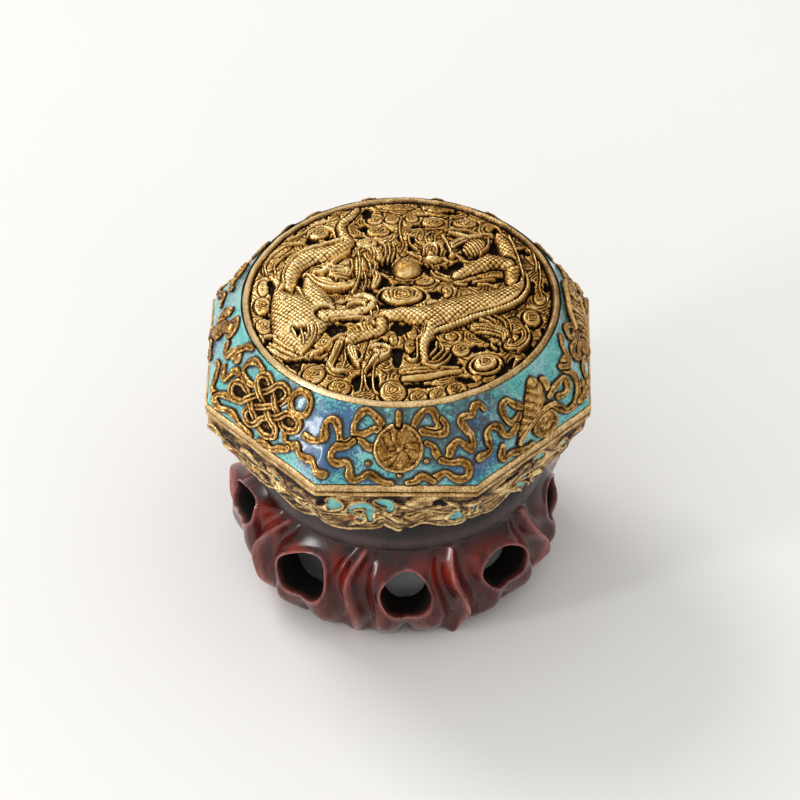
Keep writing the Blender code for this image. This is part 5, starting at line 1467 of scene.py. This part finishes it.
# Gilt looks: deep, brown, ochre and bright, and the size and share of the grain where they aren't the usual
# Deep goes in the hollows, partly dark patina and partly painted shade; bright goes on what stands proud,
# partly a painted highlight
GILTS = {
    "medallion_gilt": (
        (0.01, 0.007, 0.005), (0.16, 0.07, 0.018), (0.5, 0.27, 0.06), (1.0, 0.76, 0.37)),
    "ribbon_gilt": (
        (0.012, 0.008, 0.006), (0.11, 0.048, 0.014), (0.34, 0.17, 0.036), (0.85, 0.56, 0.22), 0.26),
    "worn_gilt": (
        (0.02, 0.014, 0.011), (0.15, 0.08, 0.033), (0.44, 0.25, 0.08), (0.95, 0.7, 0.36), 0.26, 0.95),
    "wall_gilt": (
        (0.022, 0.017, 0.018), (0.12, 0.07, 0.04), (0.4, 0.23, 0.07), (0.95, 0.7, 0.34), 0.26, 1.0),
}


# Studio
FLOOR_HALF = 1.5


def make_floor():
    mesh = bpy.data.meshes.new("floor")
    corners = [(x * FLOOR_HALF, y * FLOOR_HALF, 0) for x, y in ((-1, -1), (1, -1), (1, 1), (-1, 1))]
    mesh.from_pydata(corners, [], [(0, 1, 2, 3)])
    floor = linked("floor", mesh)
    g = new_look("pale_floor", (0.82, 0.816, 0.806))
    g.tint(g.noise(60.0, 2.0, 0.5), (0.845, 0.841, 0.831))
    mesh.materials.append(g.finish(Roughness=0.75))


def add_light(name, place, width, height, power, colour=(1, 1, 1)):
    """A softbox that faces the part."""
    light = bpy.data.lights.new(name, "AREA")
    light.shape = "RECTANGLE"
    light.size, light.size_y = width, height
    light.energy = power
    light.color = colour
    made = linked(name, light)
    made.location = place
    aim = Vector(LIGHTS_FACE) - Vector(place)
    made.rotation_euler = aim.to_track_quat("-Z", "Y").to_euler()


# The soft light is strongest high in front, a little to the left; the key light is behind on the left
SKY_SIDE = (-0.2, -0.45, 0.87)
SKY_LOW = 0.62
SKY_HIGH = 0.92
HORIZON_SHARE = 0.6  # how bright the sky is at the horizon, as a share of overhead
KEY_PLACE = (-0.9, 0.95, 1.35)
KEY_SIZE = 0.65
KEY_POWER = 12.5
SIDE_PLACE = (-0.5, -0.26, 0.16)
SIDE_SIZE = (0.06, 0.3)
SIDE_POWER = 1.3
LIGHTS_FACE = (0, 0, 0.03)


def make_lights():
    scene = bpy.context.scene
    scene.view_settings.view_transform = "Standard"
    scene.world = bpy.data.worlds.new("studio")
    g = Graph(scene.world, "Background")
    ray = g.coordinates["Generated"]
    toward = g.node("VectorMath", {0: ray, 1: SKY_SIDE}, operation="DOT_PRODUCT").outputs["Value"]
    climb = g.node("SeparateXYZ", {0: ray}).outputs["Z"]
    g.set("Color", (1.0, 0.99, 0.975, 1.0))
    g.set("Strength", g.times(g.ramp(toward, -0.3, 1.0, SKY_LOW, SKY_HIGH),
                              g.ramp(climb, 0.0, 0.5, HORIZON_SHARE, 1.0, "LINEAR")))
    add_light("key", KEY_PLACE, KEY_SIZE, KEY_SIZE, KEY_POWER, (1.0, 0.985, 0.96))
    add_light("side", SIDE_PLACE, *SIDE_SIZE, SIDE_POWER)


# Camera, placed as the photograph's was
ELEVATION, AZIMUTH, ROLL = math.radians(41.7), math.radians(1.5), math.radians(0.7)
FOCAL_PX = 4500.0
PX_PER_M = 5452.0  # at the level aimed at
AIM_LEVEL = 47.0
FRAME_PX = 800.0
SENSOR = 36.0
AIM_DOWN_PX, AIM_RIGHT_PX = 49.1, 0.7  # from the rim's middle to the middle of the frame


def make_camera():
    middle = Vector((0, 0, AIM_LEVEL * MM))
    back = Vector((math.sin(AZIMUTH) * math.cos(ELEVATION), -math.cos(AZIMUTH) * math.cos(ELEVATION),
                   math.sin(ELEVATION)))
    level = Vector((math.cos(AZIMUTH), math.sin(AZIMUTH), 0))
    upright = back.cross(level)
    place = middle + back * (FOCAL_PX / PX_PER_M)
    right = level * math.cos(ROLL) - upright * math.sin(ROLL)
    up = back.cross(right)
    aim = middle - up * (AIM_DOWN_PX / PX_PER_M) + right * (AIM_RIGHT_PX / PX_PER_M)
    back = (place - aim).normalized()
    right = (right - back * right.dot(back)).normalized()
    up = back.cross(right)
    data = bpy.data.cameras.new("camera")
    data.sensor_width = SENSOR
    data.lens = SENSOR * FOCAL_PX / FRAME_PX
    data.clip_end = 20
    camera = linked("camera", data)
    camera.matrix_world = Matrix.Translation(place) @ Matrix((right, up, back)).transposed().to_4x4()
    bpy.context.scene.camera = camera


def main():
    make_camera()
    make_lights()
    make_floor()
    gilt = {name: gilt_look(name, *values) for name, values in GILTS.items()}
    enamel = enamel_look()
    wood = wood_look()
    make_lid_core(gilt["worn_gilt"])
    make_lid_band(enamel, gilt["ribbon_gilt"])
    make_medallion(gilt["medallion_gilt"])
    make_box_core(gilt["worn_gilt"])
    make_wall(gilt["wall_gilt"], enamel)
    make_shell(wood)
    make_collar(collar_look())


main()
